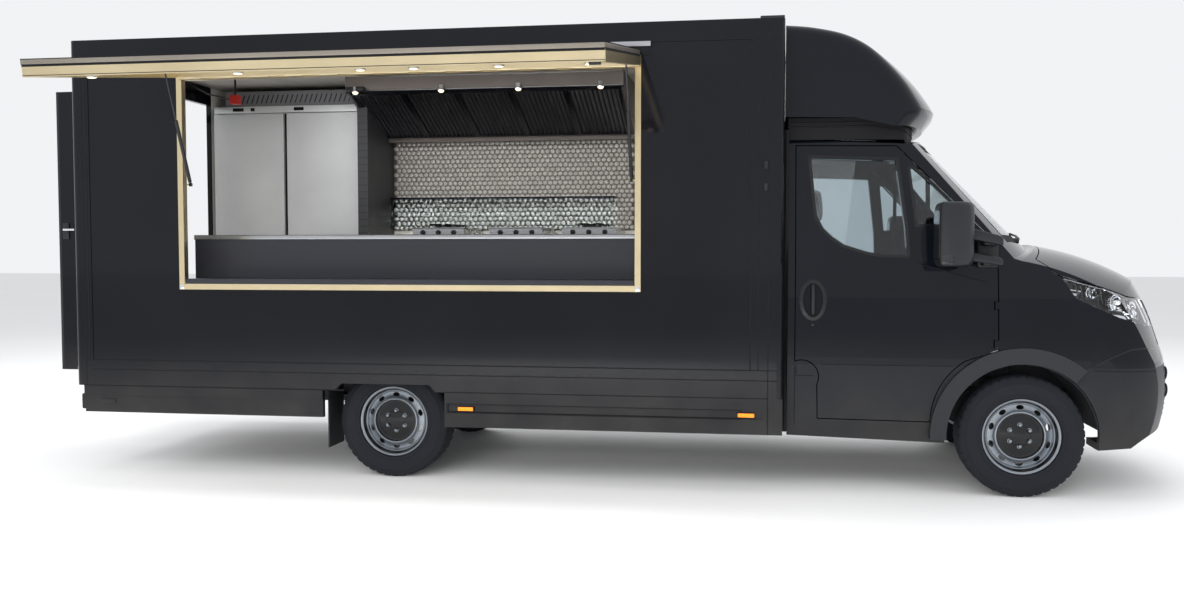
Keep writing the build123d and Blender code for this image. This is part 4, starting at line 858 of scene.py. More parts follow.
def build_door_trims():
    """Window surrounds, handle, crease and lower joint line of each cab door."""
    skin = Skin("door_right")
    piece = Piece("door_trims_right")
    flat_band(piece, skin, WINDOW, 0.018, 0.0015, GLOSS)
    flat_band(piece, skin, QUARTER, 0.016, 0.0015, GLOSS)
    bezel_outer = ellipse(HANDLE_CENTRE, (0.078, 0.120), 48)
    bezel_inner = ellipse(HANDLE_CENTRE, (0.0575, 0.0995), 48)
    outer = []
    inner = []
    for a, b in zip(bezel_outer, bezel_inner):
        point = skin.side(*a)
        outer.append(point + Vector((0, -0.0006, 0)))
        inner.append(Vector((b[0], point.y - 0.0030, b[1])))
    piece.band(outer, inner, (0, 0.008, 0), GLOSS)
    x, middle = HANDLE_CENTRE
    grip = [
        (x, -0.984, middle - 0.086), (x, -0.9955, middle - 0.074), (x, -0.998, middle),
        (x, -0.9955, middle + 0.074), (x, -0.984, middle + 0.086)
    ]
    piece.tube(grip, 0.0138, SATIN, 14)
    piece.lathe([(0.008, 0.0), (0.008, 0.0025), (0.006, 0.003), (0.001, 0.003)], SATIN,
                skin.side(x, middle - 0.145), "y", -1, 20)
    crease = [(-0.150, 1.226), (-0.23, 1.246), (-0.34, 1.276), (-0.46, 1.312), (-0.60, 1.352)]
    piece.tube(skin.side_line(crease, 0.03, -0.0008), 0.0032, PAINT, 8)
    piece.tube(skin.side_line([(-1.283, 0.757), (-0.345, 0.757)], 0.05, -0.0005), 0.0022, RUBBER, 8)
    piece.put_both("door_right", "mirror_right")


DOOR_EDGE = [
    (-0.520, 0.425), (-1.156, 0.432), (-1.161, 0.640), (-1.172, 0.700), (-1.205, 0.745), (-1.290, 0.770),
    (-1.290, 2.050), (-0.705, 2.040),
]
DOOR_THICKNESS = 0.062


def build_door_jambs():
    """Dark flanges behind the shut lines of the cab doors, and the seal between cab and box."""
    skin = Skin("cab_shell", "door_right", "door_glass_right")
    piece = Piece("door_jamb_right")
    line = dense(DOOR_EDGE + [(-0.15, 1.462), (-0.138, 0.85), (-0.325, 0.785), (-0.455, 0.64)], 0.04)
    outer = grown(line, 0.014)
    inner = grown(line, -0.020)
    pairs = []
    for middle, a, b in zip(line, outer, inner):
        point = skin.side(*b)
        if point is None or middle[0] > -0.50 or (middle[1] > 1.9 and middle[0] > -0.72):
            continue
        depth = point.y + DOOR_THICKNESS + 0.007
        pairs.append((Vector((a[0], depth, a[1])), Vector((b[0], depth, b[1]))))
    piece.band([a for a, _ in pairs], [b for _, b in pairs], (0, 0.006, 0), RUBBER, closed=False)
    piece.put_both("truck", "arch_trims")
    seal = Piece("cab_seal")
    x = (BOX_HIGH.x - 0.0005, -1.3295)
    for side in (-1, 1):
        seal.block(x, (side * 0.925, side * 0.972), (0.350, 2.13), RUBBER, 0.006)
        for k in range(3):
            y = side * (0.974 - k * 0.012)
            seal.tube([((x[0] + x[1]) / 2, y, 0.37), ((x[0] + x[1]) / 2, y, 2.12)], 0.006, RUBBER, 8)
    seal.block(x, (-0.95, 0.95), (2.085, 2.125), RUBBER, 0.006)
    seal.block(x, (-0.95, 0.95), (0.56, 0.60), RUBBER, 0.006)
    seal.put("truck", "arch_trims")


def build_fuel_flap():
    """Dark shut line of the filler flap behind the right door."""
    skin = Skin("cab_shell")
    piece = Piece("fuel_flap")
    piece.tube(skin.side_line([(-1.2865, 0.690), (-1.176, 0.690)], 0.02, -0.0010), 0.0026, RUBBER, 8)
    piece.tube(skin.side_line([(-1.2865, 0.40), (-1.2865, 0.760)], 0.03, -0.0010), 0.0026, RUBBER, 8)
    hinge = skin.side(-1.278, 0.72, 0.001)
    piece.block(around(hinge.x, 0.003), (hinge.y - 0.001, hinge.y + 0.003), (0.70, 0.745), RUBBER, 0.0008)
    piece.put("truck", "arch_trims")


SCREEN_TOP = 2.062
SCREEN_BASE = 1.470
SCREEN_HALF_TOP = 0.720
SCREEN_HALF_BASE = 0.850


def build_screen_trims():
    """Dark band round the windscreen, and two wipers parked on it."""
    skin = Skin("windscreen")
    corners = [
        (-SCREEN_HALF_BASE, SCREEN_BASE), (-SCREEN_HALF_TOP, SCREEN_TOP),
        (SCREEN_HALF_TOP, SCREEN_TOP), (SCREEN_HALF_BASE, SCREEN_BASE),
    ]
    piece = Piece("screen_trims")
    line = dense(grown(corners, -0.004), 0.05)
    outer = []
    inner = []
    for a, b in zip(line, grown(line, -0.042)):
        first = skin.front(*a, 0.0012)
        second = skin.front(*b, 0.0012)
        if first is not None and second is not None:
            outer.append(first)
            inner.append(second)
    piece.band(outer, inner, (-0.002, 0, 0), RUBBER)
    # Columns: y of the pivot, y of the blade's two ends
    for pivot, low, high in ((-0.52, -0.50, 0.08), (0.18, 0.20, 0.78)):
        base = skin.front(pivot, SCREEN_BASE + 0.012, 0.004)
        middle = (low + high) / 2
        blade = []
        for i in range(9):
            y = low + (high - low) * i / 8
            point = skin.front(y, SCREEN_BASE + 0.050 + 0.010 * sin(pi * i / 8), 0.010)
            if point is not None:
                blade.append(point)
        piece.tube(blade, 0.006, RUBBER, 8)
        knee = skin.front((pivot + middle) / 2, SCREEN_BASE + 0.045, 0.028)
        arm = [
            base, base + Vector((0.018, 0.02, 0.012)), knee, blade[len(blade) // 2] + Vector((0.006, 0, 0))
        ]
        piece.tube(arm, [0.011, 0.010, 0.007, 0.006], SATIN, 10)
        piece.lathe([(0.018, -0.02), (0.018, 0.012), (0.012, 0.018), (0.003, 0.019)], SATIN, base, "x", 1, 20)
    piece.put("truck", "windscreen")


def build_headlamps():
    """Reflector bowls, bulbs and ribs inside each headlamp."""
    skin = Skin("headlamps")
    piece = Piece("lamp_works_right")
    # Columns: x and z in side view, radius, which way the bowl faces in plan, in degrees from straight ahead
    for x, z, radius, turn in ((0.36, 1.185, 0.034, 62), (0.49, 1.130, 0.042, 52), (0.62, 1.080, 0.050, 38)):
        spot = skin.side(x, z)
        if spot is None:
            continue
        way = Vector((cos(radians(turn)), -sin(radians(turn)), 0.0))
        matrix = facing(spot - way * 0.006, way)
        bowl = [(radius, -0.004), (radius * 1.08, -0.006), (radius * 1.08, -0.040), (radius * 0.35, -0.044),
                (radius * 0.30, -0.036), (radius * 0.62, -0.026), (radius * 0.88, -0.013)]
        place_lathe(piece, bowl, CHROME, matrix, closed=True)
        bulb = [(0.007, -0.040), (0.007, -0.024), (0.005, -0.019), (0.001, -0.018)]
        place_lathe(piece, bulb, PANEL, matrix, closed=False)
    brow = [(0.205, 1.262), (0.415, 1.203), (0.567, 1.151), (0.66, 1.132)]
    piece.tube(skin.side_line(brow, 0.03, -0.006), 0.0032, CHROME, 8)
    for index in range(7):
        x = 0.245 + index * 0.026
        top = skin.side(x, 1.258 - (x - 0.19) * 0.28, -0.010)
        low = skin.side(x + 0.012, 1.160 - (x - 0.27) * 0.30, -0.010)
        if top is not None and low is not None:
            piece.tube([top, low], 0.0045, SATIN, 6)
    piece.put_both("truck", "headlamps")


# Turned parts of a fog lamp. Columns: profile, material, whether it is a ring
FOG_LAMP = (
    ([(0.043, -0.030), (0.043, 0.001), (0.038, 0.004), (0.035, -0.004), (0.035, -0.030)], SATIN, True),
    ([(0.034, -0.028), (0.034, -0.006), (0.024, -0.001), (0.002, 0.001)], CLEAR, False),
    ([(0.031, -0.030), (0.030, -0.012), (0.012, -0.026), (0.002, -0.027)], CHROME, False),
)


def build_bumper_trims():
    """Fog lamps, joint lines, intake slats and blank plate of the front bumper."""
    skin = Skin("front_bumper", "grille", "headlamps")
    piece = Piece("fog_lamps_right")
    corner = radians(38)
    way = Vector((cos(corner), -sin(corner), 0))
    for z in (0.700, 0.600):
        spot = skin.hit(Vector((0.20, -0.10, z)) + way * 2, -way)
        if spot is None:
            continue
        for rows, material, ring in FOG_LAMP:
            place_lathe(piece, rows, material, facing(spot, way), ring)
    side_skin = Skin("front_bumper", "cab_shell", "headlamps")
    # Columns: line in side view, step, how far it stands out, radius, material
    lines = (
        (
            [(0.384, 0.776), (0.470, 0.822), (0.573, 0.865), (0.66, 0.872), (0.745, 0.860)],
            0.02, -0.001, 0.0042, GLOSS
        ),
        ([(0.375, 0.745), (0.50, 0.742), (0.62, 0.740), (0.74, 0.740)], 0.02, -0.001, 0.0030, RUBBER),
        ([(-0.125, 1.220), (0.0, 1.195), (0.111, 1.170), (0.247, 1.144)], 0.03, -0.0008, 0.0030, PAINT),
    )
    for line, step, proud, radius, material in lines:
        piece.tube(side_skin.side_line(line, step, proud), radius, material, 8)
    piece.put_both("truck", "headlamps")
    front = Piece("bumper_trims")
    for index in range(4):
        z = 0.452 + index * 0.030
        front.tube(skin.front_line(0.56, 16, z, -0.0052), 0.0075, SATIN, 8)
    front.tube(skin.front_line(0.78, 40, 0.742, -0.0036), 0.0035, RUBBER, 8)
    middle = skin.front(0, 0.64, 0)
    front.block((middle.x - 0.006, middle.x), (-0.27, 0.27), (0.585, 0.705), SATIN, 0.003)
    front.block((middle.x - 0.001, middle.x + 0.0004), (-0.255, 0.255), (0.593, 0.697), PANEL, 0.0003)
    front.put("truck", "front_bumper")


# Mirror head seen from above
MIRROR_PLAN = [
    (-0.522, -1.300), (-0.521, -1.318), (-0.512, -1.328), (-0.470, -1.330), (-0.410, -1.325),
    (-0.365, -1.303), (-0.336, -1.265), (-0.325, -1.215), (-0.328, -1.165), (-0.345, -1.122),
    (-0.378, -1.096), (-0.430, -1.086), (-0.512, -1.087), (-0.521, -1.096), (-0.522, -1.112),
]


def rounded(low, high, radius, steps=5):
    """Points round a rectangle with round corners."""
    result = []
    corners = ((high[0], high[1], 0), (low[0], high[1], 90), (low[0], low[1], 180), (high[0], low[1], 270))
    for a, b, start in corners:
        centre = (a - radius if a == high[0] else a + radius, b - radius if b == high[1] else b + radius)
        for k in range(steps + 1):
            angle = radians(start + 90 * k / steps)
            result.append((centre[0] + radius * cos(angle), centre[1] + radius * sin(angle)))
    return result


def build_mirrors():
    """Door mirrors: round-edged head, two glasses, side lamp and two arms."""
    piece = Piece("dressed_mirror_right")
    # Columns: height, share of the plan's size
    rows = (
        (1.335, 0.75), (1.340, 0.86), (1.352, 0.95), (1.372, 1.0),
        (1.640, 1.0), (1.668, 0.96), (1.683, 0.88), (1.690, 0.76),
    )
    middle = Vector((-0.44, -1.208))
    form = bmesh.new()
    rings = []
    for z, share in rows:
        ring = []
        for point in MIRROR_PLAN:
            flat = middle + (Vector(point) - middle) * share
            ring.append(form.verts.new((flat.x, flat.y, z)))
        rings.append(ring)
    loft(form, rings)
    piece.take(form, SATIN)
    piece.prism(rounded((-1.312, 1.372), (-1.104, 1.650), 0.03), "x", -0.5245, -0.515, GLOSS, 0.001)
    piece.prism(rounded((-1.303, 1.475), (-1.113, 1.642), 0.024), "x", -0.5255, -0.520, MIRROR, 0)
    piece.prism(rounded((-1.303, 1.380), (-1.113, 1.463), 0.024), "x", -0.5255, -0.520, MIRROR, 0)
    piece.prism(rounded((-0.515, 1.345), (-0.448, 1.402), 0.016), "y", -1.3298, -1.318, CLEAR, 0.003)
    # The two arms in side view
    arms = (
        [
            (-0.43, 1.492), (-0.43, 1.546), (-0.30, 1.540), (-0.175, 1.506), (-0.158, 1.490),
            (-0.158, 1.450), (-0.30, 1.480)
        ],
        [
            (-0.43, 1.372), (-0.43, 1.420), (-0.30, 1.410), (-0.175, 1.384), (-0.158, 1.370),
            (-0.158, 1.338), (-0.30, 1.360)
        ],
    )
    for rows in arms:
        piece.prism(rows, "y", -1.168, -1.078, SATIN, 0.010)
        heights = [z for x, z in rows if x > -0.2]
        piece.block((-0.255, -0.160), (-1.110, -0.965), (min(heights), max(heights)), SATIN, 0.010)
    piece.block((-0.266, -0.150), (-1.004, -0.955), (1.325, 1.515), SATIN, 0.010)
    piece.put_both("door_right", "mirror_right", ["mirror_right"], sharp=50)


# Middle section of the roof fairing, from the box over the top to the nose.
# Columns: x, z, how far it falls back at the sides, how far it comes down there
FAIRING_TOP = [
    (-1.352, 2.786, 0.0, 0.040), (-1.20, 2.774, 0.0, 0.045), (-1.00, 2.738, 0.03, 0.050),
    (-0.82, 2.674, 0.08, 0.055), (-0.66, 2.572, 0.13, 0.055), (-0.53, 2.450, 0.165, 0.045),
    (-0.44, 2.335, 0.19, 0.035), (-0.405, 2.275, 0.195, 0.03),
]
FAIRING_UNDER = [
    (-0.418, 2.235, 0.195, 0.03), (-0.475, 2.165, 0.19, 0.02), (-0.53, 2.150, 0.15, 0.0),
    (-0.85, 2.197, 0.04, 0.0), (-1.352, 2.207, 0.0, 0.0),
]
FAIRING_HALF = 0.955
FAIRING_ROUND = 0.075
# Band under the fairing, seen from above
BAND_PLAN = [
    (-1.332, -0.905), (-0.900, -0.890), (-0.680, -0.840), (-0.622, -0.720), (-0.585, -0.540),
    (-0.562, -0.270), (-0.558, 0.0),
]


BAND_WALL = 0.018
# How far the band sinks into the roof, its foot where there is no roof, and over the doors
BAND_SINK = 0.012
BAND_FOOT = 2.060
BAND_DOOR_X = -0.66
BAND_DOOR_FOOT = 2.076


def band_top(x):
    """Height of the band's upper edge, which comes down towards the nose."""
    return 2.209 - 0.045 * max(0, (x + 0.85) / 0.33)


def smooth_line(points, parts=8):
    """A smooth curve through rows of numbers."""
    result = []
    last = len(points) - 1
    for i in range(last):
        rows = (points[max(0, i - 1)], points[i], points[i + 1], points[min(last, i + 2)])
        for k in range(parts):
            t = k / parts
            place = []
            for a, b, c, d in zip(*rows):
                bend = (2 * a - 5 * b + 4 * c - d) * t + (3 * b - a - 3 * c + d) * t * t
                place.append(b + 0.5 * t * (c - a + bend))
            result.append(tuple(place))
    result.append(tuple(points[last]))
    return result


def fairing_ring(y):
    """The fairing's upright section at one y."""
    share = (abs(y) / FAIRING_HALF) ** 2.2
    over = min(1, max(0, (abs(y) - FAIRING_HALF + FAIRING_ROUND) / FAIRING_ROUND))
    inset = FAIRING_ROUND * (1 - sqrt(1 - over * over))
    top = smooth_line(FAIRING_TOP)
    ring = []
    for row in top + FAIRING_UNDER:
        x, z, back, down = row
        x -= back * share
        z -= down * share
        way = Vector((x + 1.2, z - 2.3)).normalized()
        if row is not top[0] and x > -1.3:
            x -= way.x * inset
        if z > 2.3:
            z -= way.y * inset
        ring.append((x, y, z))
    return ring


def build_fairing():
    """Roof fairing, with the ribbed rubber band that it stands on."""
    flat = FAIRING_HALF - FAIRING_ROUND
    places = [flat * k / 10 for k in range(11)]
    places += [flat + FAIRING_ROUND * sin(pi / 2 * k / 6) for k in range(1, 7)]
    places = [-y for y in reversed(places[1:])] + places
    form = bmesh.new()
    rings = [[form.verts.new(point) for point in fairing_ring(y)] for y in places]
    for first, second in zip(rings, rings[1:]):
        bridge(form, first, second)
    form.faces.new(rings[0])
    form.faces.new(list(reversed(rings[-1])))
    piece = Piece("dressed_fairing")
    piece.take(form, PAINT)
    roof = Skin("cab_shell")
    half = smooth_line(BAND_PLAN, 6)
    plan = half + [(x, -y) for x, y in reversed(half[:-1])]
    walls = [plan, grown(plan, -BAND_WALL)]
    form = bmesh.new()
    lines = []
    for number, line in enumerate(walls):
        tops = []
        lows = []
        for i, (x, y) in enumerate(line):
            found = roof.hit((*plan[i], 3.0), (0, 0, -1))
            low = found.z - BAND_SINK if found is not None else BAND_FOOT
            if x < BAND_DOOR_X:
                low = max(low, BAND_DOOR_FOOT)
            high = band_top(x)
            tops.append(form.verts.new((x, y, high)))
            lows.append(form.verts.new((x, y, min(low, high - 0.004))))
        lines.extend([tops, lows] if number == 0 else [lows, tops])
    for first, second in zip(lines, lines[1:] + lines[:1]):
        bridge(form, first, second)
    piece.take(form, RUBBER)
    for drop in (0.010, 0.034, 0.058):
        rib = [(x, y, band_top(x) - drop) for x, y in grown(plan, 0.001)]
        piece.tube(rib, 0.005, RUBBER, 8, closed=True)
    piece.put("truck", "roof_fairing", ["roof_fairing"])


# Box body

# Upright lines on the box's side. Columns: x, half width, foot, top
POST_LINES = [
    (-1.546, 0.004, 0.725, 2.640), (-1.500, 0.003, 0.725, 2.640), (-1.443, 0.003, 0.350, 2.700),
    (-5.743, 0.003, 0.725, 2.640), (-5.768, 0.002, 0.562, 2.700),
]
# Long lines of the skirt. The two at 0.561 are the seam under the wall's lower edge, drawn dark partly as a
# painted shadow line where the wall overlaps the skirt. Columns: ends, height, half width
SKIRT_LINES = [
    ((-5.790, -4.030), 0.561, 0.004), ((-3.389, -1.443), 0.561, 0.003),
    ((-3.376, -1.596), 0.491, 0.0022), ((-3.376, -1.596), 0.438, 0.004),
]


def build_box_trims():
    """Beads, grooves, rivets and seams of the box's profiles, and a painted shadow line under the wall's
    lower edge.
    """
    piece = Piece("box_trims")
    x_rear, x_front = BOX_LOW.x, BOX_HIGH.x
    for side in (-1, 1):
        face = side * BOX_HALF
        for z, proud in ((0.725, 0.0012), (0.665, 0.0012), (2.640, 0.0018)):
            piece.block(
                (x_rear + 0.12, x_front - 0.03), (face, face + side * proud), around(z, 0.003),
                RUBBER, 0.0008
            )
        for x, wide, low, high in POST_LINES:
            piece.block(around(x, wide), (face, face + side * 0.0012), (low, high), RUBBER, 0.0008)
        # Lines at 0.561: a real seam, drawn dark as a painted shadow line under the wall's lower edge
        for x, z, wide in SKIRT_LINES:
            piece.block(x, (face - side * 0.004, face + side * 0.0012), around(z, wide), RUBBER, 0.0008)
        for x in (-3.374, -1.598):
            piece.block(
                around(x, 0.002), (face - side * 0.004, face + side * 0.0012), (0.438, 0.492), RUBBER,
                0.0008
            )
        piece.block(
            (x_front - 0.142, x_front - 0.004), (face - side * 0.02, face + side * 0.0005), (2.752, 2.768),
            SATIN, 0.003
        )
    piece.block((-5.157, -2.130), (-1.1188, -1.1160), (2.6125, 2.6405), ALUMINIUM, 0.0006)
    for z in (1.789, 1.916):
        piece.lathe(
            [(0.011, -0.022), (0.013, -0.020), (0.013, 0.020), (0.011, 0.022)], SATIN, (-1.462, -1.1035, z),
            "z", 1, 20
        )
    for x in (x_rear - 0.0006, x_front + 0.0006):
        for y in (-0.975, 0.975):
            piece.block(around(x, 0.0008), around(y, 0.003), (0.73, 2.64), RUBBER, 0.0004)
    piece.put("truck", "arch_trims")


def build_linings():
    """Pale ceiling and inner walls of the kitchen."""
    x_rear, x_front = BOX_LOW.x + WALL, BOX_HIGH.x - WALL
    piece = Piece("kitchen_linings")
    full = (FLOOR_TOP, CEILING)
    skin = 0.002
    panels = (
        ((x_rear, x_front), (-INNER_Y, INNER_Y), (CEILING - 0.003, CEILING)),
        ((x_rear, x_front), (INNER_Y - skin, INNER_Y), full),
        ((x_front - skin, x_front), (-INNER_Y, INNER_Y), full),
        ((x_rear, x_rear + skin), (0.63, INNER_Y), full),
        ((x_rear, x_rear + skin), (-INNER_Y, -0.065), full),
        ((x_rear, HATCH_LOW.x), (-INNER_Y, -INNER_Y + skin), full),
        ((HATCH_HIGH.x, x_front), (-INNER_Y, -INNER_Y + skin), full),
        ((HATCH_LOW.x, HATCH_HIGH.x), (-INNER_Y, -INNER_Y + skin), (2.57, CEILING)),
    )
    piece.blocks(panels, PANEL, 0.0005)
    piece.put("truck", "wall_left")


def build_hatch_trims():
    """Rubber seal, mitre lines and lower corner caps of the hatch frame."""
    low, high = Vector((-5.110, 0, 1.180)), Vector((-2.187, 0, 2.562))
    face = -1.108
    piece = Piece("hatch_trims")
    # Width of the frame's side bars, and of its top bar
    bar, top_bar = 0.031, 0.068
    corners = rectangle((low.x + bar, high.x - bar), (low.z + bar, high.z - top_bar))
    piece.tube([(x, face + 0.012, z) for x, z in corners], 0.006, RUBBER, 8, closed=True)
    for x in (low.x, high.x):
        side = 1 if x == low.x else -1
        for z in (low.z + 0.004, high.z - 0.010):
            up = 1 if z < 1.5 else -1
            rows = [(x + side * 0.002, z), (x + side * 0.0034, z), (x + side * 0.034, z + up * 0.031),
                    (x + side * 0.0326, z + up * 0.031)]
            piece.prism(rows, "y", face - 0.0004, face + 0.002, RUBBER, 0)
        piece.block(
            (x + side * 0.004, x + side * 0.030), (face - 0.0012, face + 0.003),
            (low.z + 0.002, low.z + 0.030), CHROME, 0.001
        )
        piece.lathe(
            [(0.006, 0.0), (0.006, 0.0004), (0.003, 0.0008)], CHROME,
            (x + side * 0.017, face - 0.001, low.z + 0.016), "y", -1, 16
        )
    piece.put("truck", "hatch_frame")


LID_HINGE = Vector((0, -1.124, 2.500))
LID_SLOPE = radians(8.8)
LID_OUT = Vector((0, -cos(LID_SLOPE), -sin(LID_SLOPE)))
LID_UP = Vector((0, -sin(LID_SLOPE), cos(LID_SLOPE)))
LID_LENGTH = 1.440


def leaning(out, up, start):
    """Matrix from a leaning panel's own directions: x, then outwards, then up."""
    return Matrix(((1, 0, 0, 0), (0, out.y, up.y, start.y), (0, out.z, up.z, start.z), (0, 0, 0, 1)))


def build_lid_trims():
    """Edge strips, seams, lining and spotlights of the lifted lid."""
    turn = leaning(LID_OUT, LID_UP, LID_HINGE)
    x_rear, x_front = HATCH_LOW.x, HATCH_HIGH.x
    out = LID_LENGTH
    piece = Piece("lid_trims")
    x = (x_rear + 0.001, x_front - 0.001)
    piece.block(x, (out - 0.004, out + 0.0005), (0.0625, 0.0855), EDGE, 0.0004, turn)
    piece.block(x, (out - 0.006, out - 0.0034), (0.0505, 0.0600), RUBBER, 0.0004, turn)
    piece.block(x, (out - 0.006, out + 0.0005), (0.0065, 0.0095), RUBBER, 0.0004, turn)
    for x in (x_rear, x_front):
        side = 1 if x == x_rear else -1
        piece.block(
            (x - side * 0.0004, x + side * 0.004), (0.03, out - 0.005), (0.0505, 0.0600), RUBBER, 0.0004,
            turn
        )
        piece.block(
            (x - side * 0.0005, x + side * 0.004), (0.03, out - 0.001), (0.0625, 0.0855), EDGE, 0.0004, turn
        )
    piece.block(
        (x_rear + 0.036, x_front - 0.036), (0.040, out - 0.040), (0.0555, 0.0605), PANEL, 0.0015, turn
    )
    for x in (-4.14, -3.16):
        piece.block(around(x, 0.012), (0.05, out - 0.045), (0.050, 0.057), ALUMINIUM, 0.002, turn)
    # Places of the spotlights along the truck
    for x in (-4.781, -4.006, -3.381, -3.117, -2.702, -2.271):
        body = [
            (0.018, 0.056), (0.018, 0.030), (0.024, 0.026), (0.026, 0.020), (0.026, -0.006), (0.024, -0.009)
        ]
        part = Piece("part")
        part.lathe(body, CHROME, (x, out - 0.075, 0), "z", 1, 28)
        part.lathe(
            [(0.0225, 0.0), (0.0225, -0.0095), (0.014, -0.0125), (0.002, -0.0135)], WARM,
            (x, out - 0.075, 0), "z", 1, 24
        )
        bmesh.ops.transform(part.mesh, matrix=turn, verts=part.mesh.verts)
        piece.merge(part)
    piece.block((-2.268, -2.212), (out - 0.040, out - 0.012), (-0.014, 0.004), SATIN, 0.003, turn)
    piece.put("hatch_lid", "lid_rim")


# Kitchen

def build_kitchen_front():
    """Steel worktop cover, drawer fronts and shelf lip."""
    low, high = span("front_counter")
    piece = Piece("counter_trims")
    piece.block(
        (low.x, high.x), (low.y - 0.001, high.y + 0.001), (high.z - 0.031, high.z + 0.0006), STEEL, 0.006
    )
    back = high.y - 0.012
    face, grip = back + 0.004, back + 0.030
    for index in range(5):
        x = -4.62 + index * 0.62
        for z in ((0.80, 1.22), (1.235, 1.45)):
            piece.block((x + 0.01, x + 0.60), (back - 0.018, face), z, STEEL, 0.004)
        for z in (1.20, 1.43):
            bow = [(x + 0.16, face, z), (x + 0.16, grip, z), (x + 0.45, grip, z), (x + 0.45, face, z)]
            piece.tube(bow, 0.005, CHROME, 8)
    piece.put("truck", "front_counter")
    shelf_low, shelf_high = span("serving_shelf")
    shelf = Piece("shelf_trims")
    shelf.block((shelf_low.x, shelf_high.x), (shelf_low.y - 0.001, shelf_low.y + 0.010),
                (shelf_low.z, shelf_high.z + 0.0015), SLATE, 0.003)
    shelf.block(
        (shelf_low.x, shelf_high.x), (shelf_low.y, shelf_high.y),
        (shelf_high.z - 0.001, shelf_high.z + 0.0008), SLATE, 0.0005
    )
    shelf.put("truck", "serving_shelf")


TILE_PITCH = 0.041
TILE_GAP = 0.0035
LEDGE_Y = 0.952


def build_tiles():
    """Domed six-sided metal tiles on the wall behind the stove."""
    low, high = span("splashback")
    face_y = INNER_Y - 0.012
    form = bmesh.new()
    radius = (TILE_PITCH - TILE_GAP) / sqrt(3)
    rows = int((high.z - low.z) / (TILE_PITCH * sqrt(3) / 2))
    columns = int((high.x - low.x) / TILE_PITCH)
    for row in range(rows):
        for column in range(columns):
            x = low.x + TILE_PITCH * (column + 0.6 + 0.5 * (row % 2))
            z = low.z + 0.02 + row * TILE_PITCH * sqrt(3) / 2
            if x + radius > high.x or z + radius > high.z:
                continue
            rings = []
            # Columns: share of the radius, distance out of the wall
            for share, out in ((1.0, 0.0), (1.0, 0.0030), (0.80, 0.0062), (0.45, 0.0080)):
                ring = []
                for k in range(6):
                    angle = pi / 6 + k * pi / 3
                    place = (x + radius * share * cos(angle), face_y - out, z + radius * share * sin(angle))
                    ring.append(form.verts.new(place))
                rings.append(ring)
            loft(form, rings)
    piece = Piece("wall_tiles")
    piece.take(form, TILE)
    piece.block((low.x, high.x), (face_y - 0.001, face_y + 0.004), (low.z, high.z), FASCIA, 0.0005)
    piece.block((low.x, high.x), (face_y - 0.010, face_y + 0.002), (high.z - 0.012, high.z), STEEL, 0.002)
    piece.block((low.x + 0.002, high.x - 0.162), (LEDGE_Y, LEDGE_Y + 0.005), (1.604, 1.8402), PANE, 0.001)
    piece.put("truck", "splashback", sharp=60)


HOOD_LOW_FRONT = (0.262, 2.600)
HOOD_LOW_BACK = (0.940, 2.325)


def build_hood_trims():
    """Baffle filters on the hood's sloping face, and lamps along its fascia."""
    low, high = span("hood")
    start = Vector((0, HOOD_LOW_FRONT[0], HOOD_LOW_FRONT[1]))
    end = Vector((0, HOOD_LOW_BACK[0], HOOD_LOW_BACK[1]))
    along = (end - start).normalized()
    down = Vector((0, along.z, -along.y))
    length = (end - start).length
    turn = leaning(along, down, start)
    piece = Piece("hood_filters")
    count = 5
    width = (high.x - low.x - 0.04) / count
    for index in range(count):
        x = low.x + 0.02 + index * width
        thick = (0.0, 0.012)
        rails = (
            ((x + 0.002, x + 0.020), (0.02, length - 0.02), thick),
            ((x + width - 0.020, x + width - 0.002), (0.02, length - 0.02), thick),
            ((x + 0.01, x + width - 0.01), (0.02, 0.045), thick),
            ((x + 0.01, x + width - 0.01), (length - 0.045, length - 0.02), thick),
        )
        piece.blocks(rails, STEEL_DARK, 0.002, turn)
        baffles = 11
        room = (width - 0.04) / baffles
        for k in range(baffles):
            a = x + 0.02 + k * room
            rows = [
                (a + 0.002, 0.002), (a + room * 0.5, 0.014), (a + room - 0.002, 0.002),
                (a + room - 0.004, 0.0), (a + room * 0.5, 0.011), (a + 0.004, 0.0)
            ]
            piece.prism(rows, "y", 0.04, length - 0.04, STEEL_DARK, 0, turn)
        piece.block((low.x, high.x), (-0.004, 0.022), (0.0, 0.004), SATIN, 0.001, turn)
    piece.put("truck", "hood")
    fascia = Piece("hood_lamps")
    fascia.block((low.x, high.x), (0.2485, 0.2505), (2.6002, 2.6085), STEEL, 0.0006)
    fascia.block((low.x, high.x), (0.2485, 0.2505), (2.700, 2.706), STEEL, 0.0006)
    fascia.block((-4.519, -4.380), (0.205, 0.2495), (2.598, 2.628), SATIN, 0.004)
    # Places of the small lamps under the fascia
    for x in (-4.450, -3.797, -3.223, -2.625):
        fascia.lathe(
            [(0.022, 0.030), (0.022, 0.0), (0.026, -0.004), (0.024, -0.010)], CHROME, (x, 0.225, 2.598),
            "z", 1, 24
        )
        fascia.lathe(
            [(0.020, 0.0), (0.021, -0.012), (0.012, -0.022), (0.002, -0.024)], WARM, (x, 0.225, 2.596), "z",
            1, 20
        )
    fascia.put("truck", "hood")


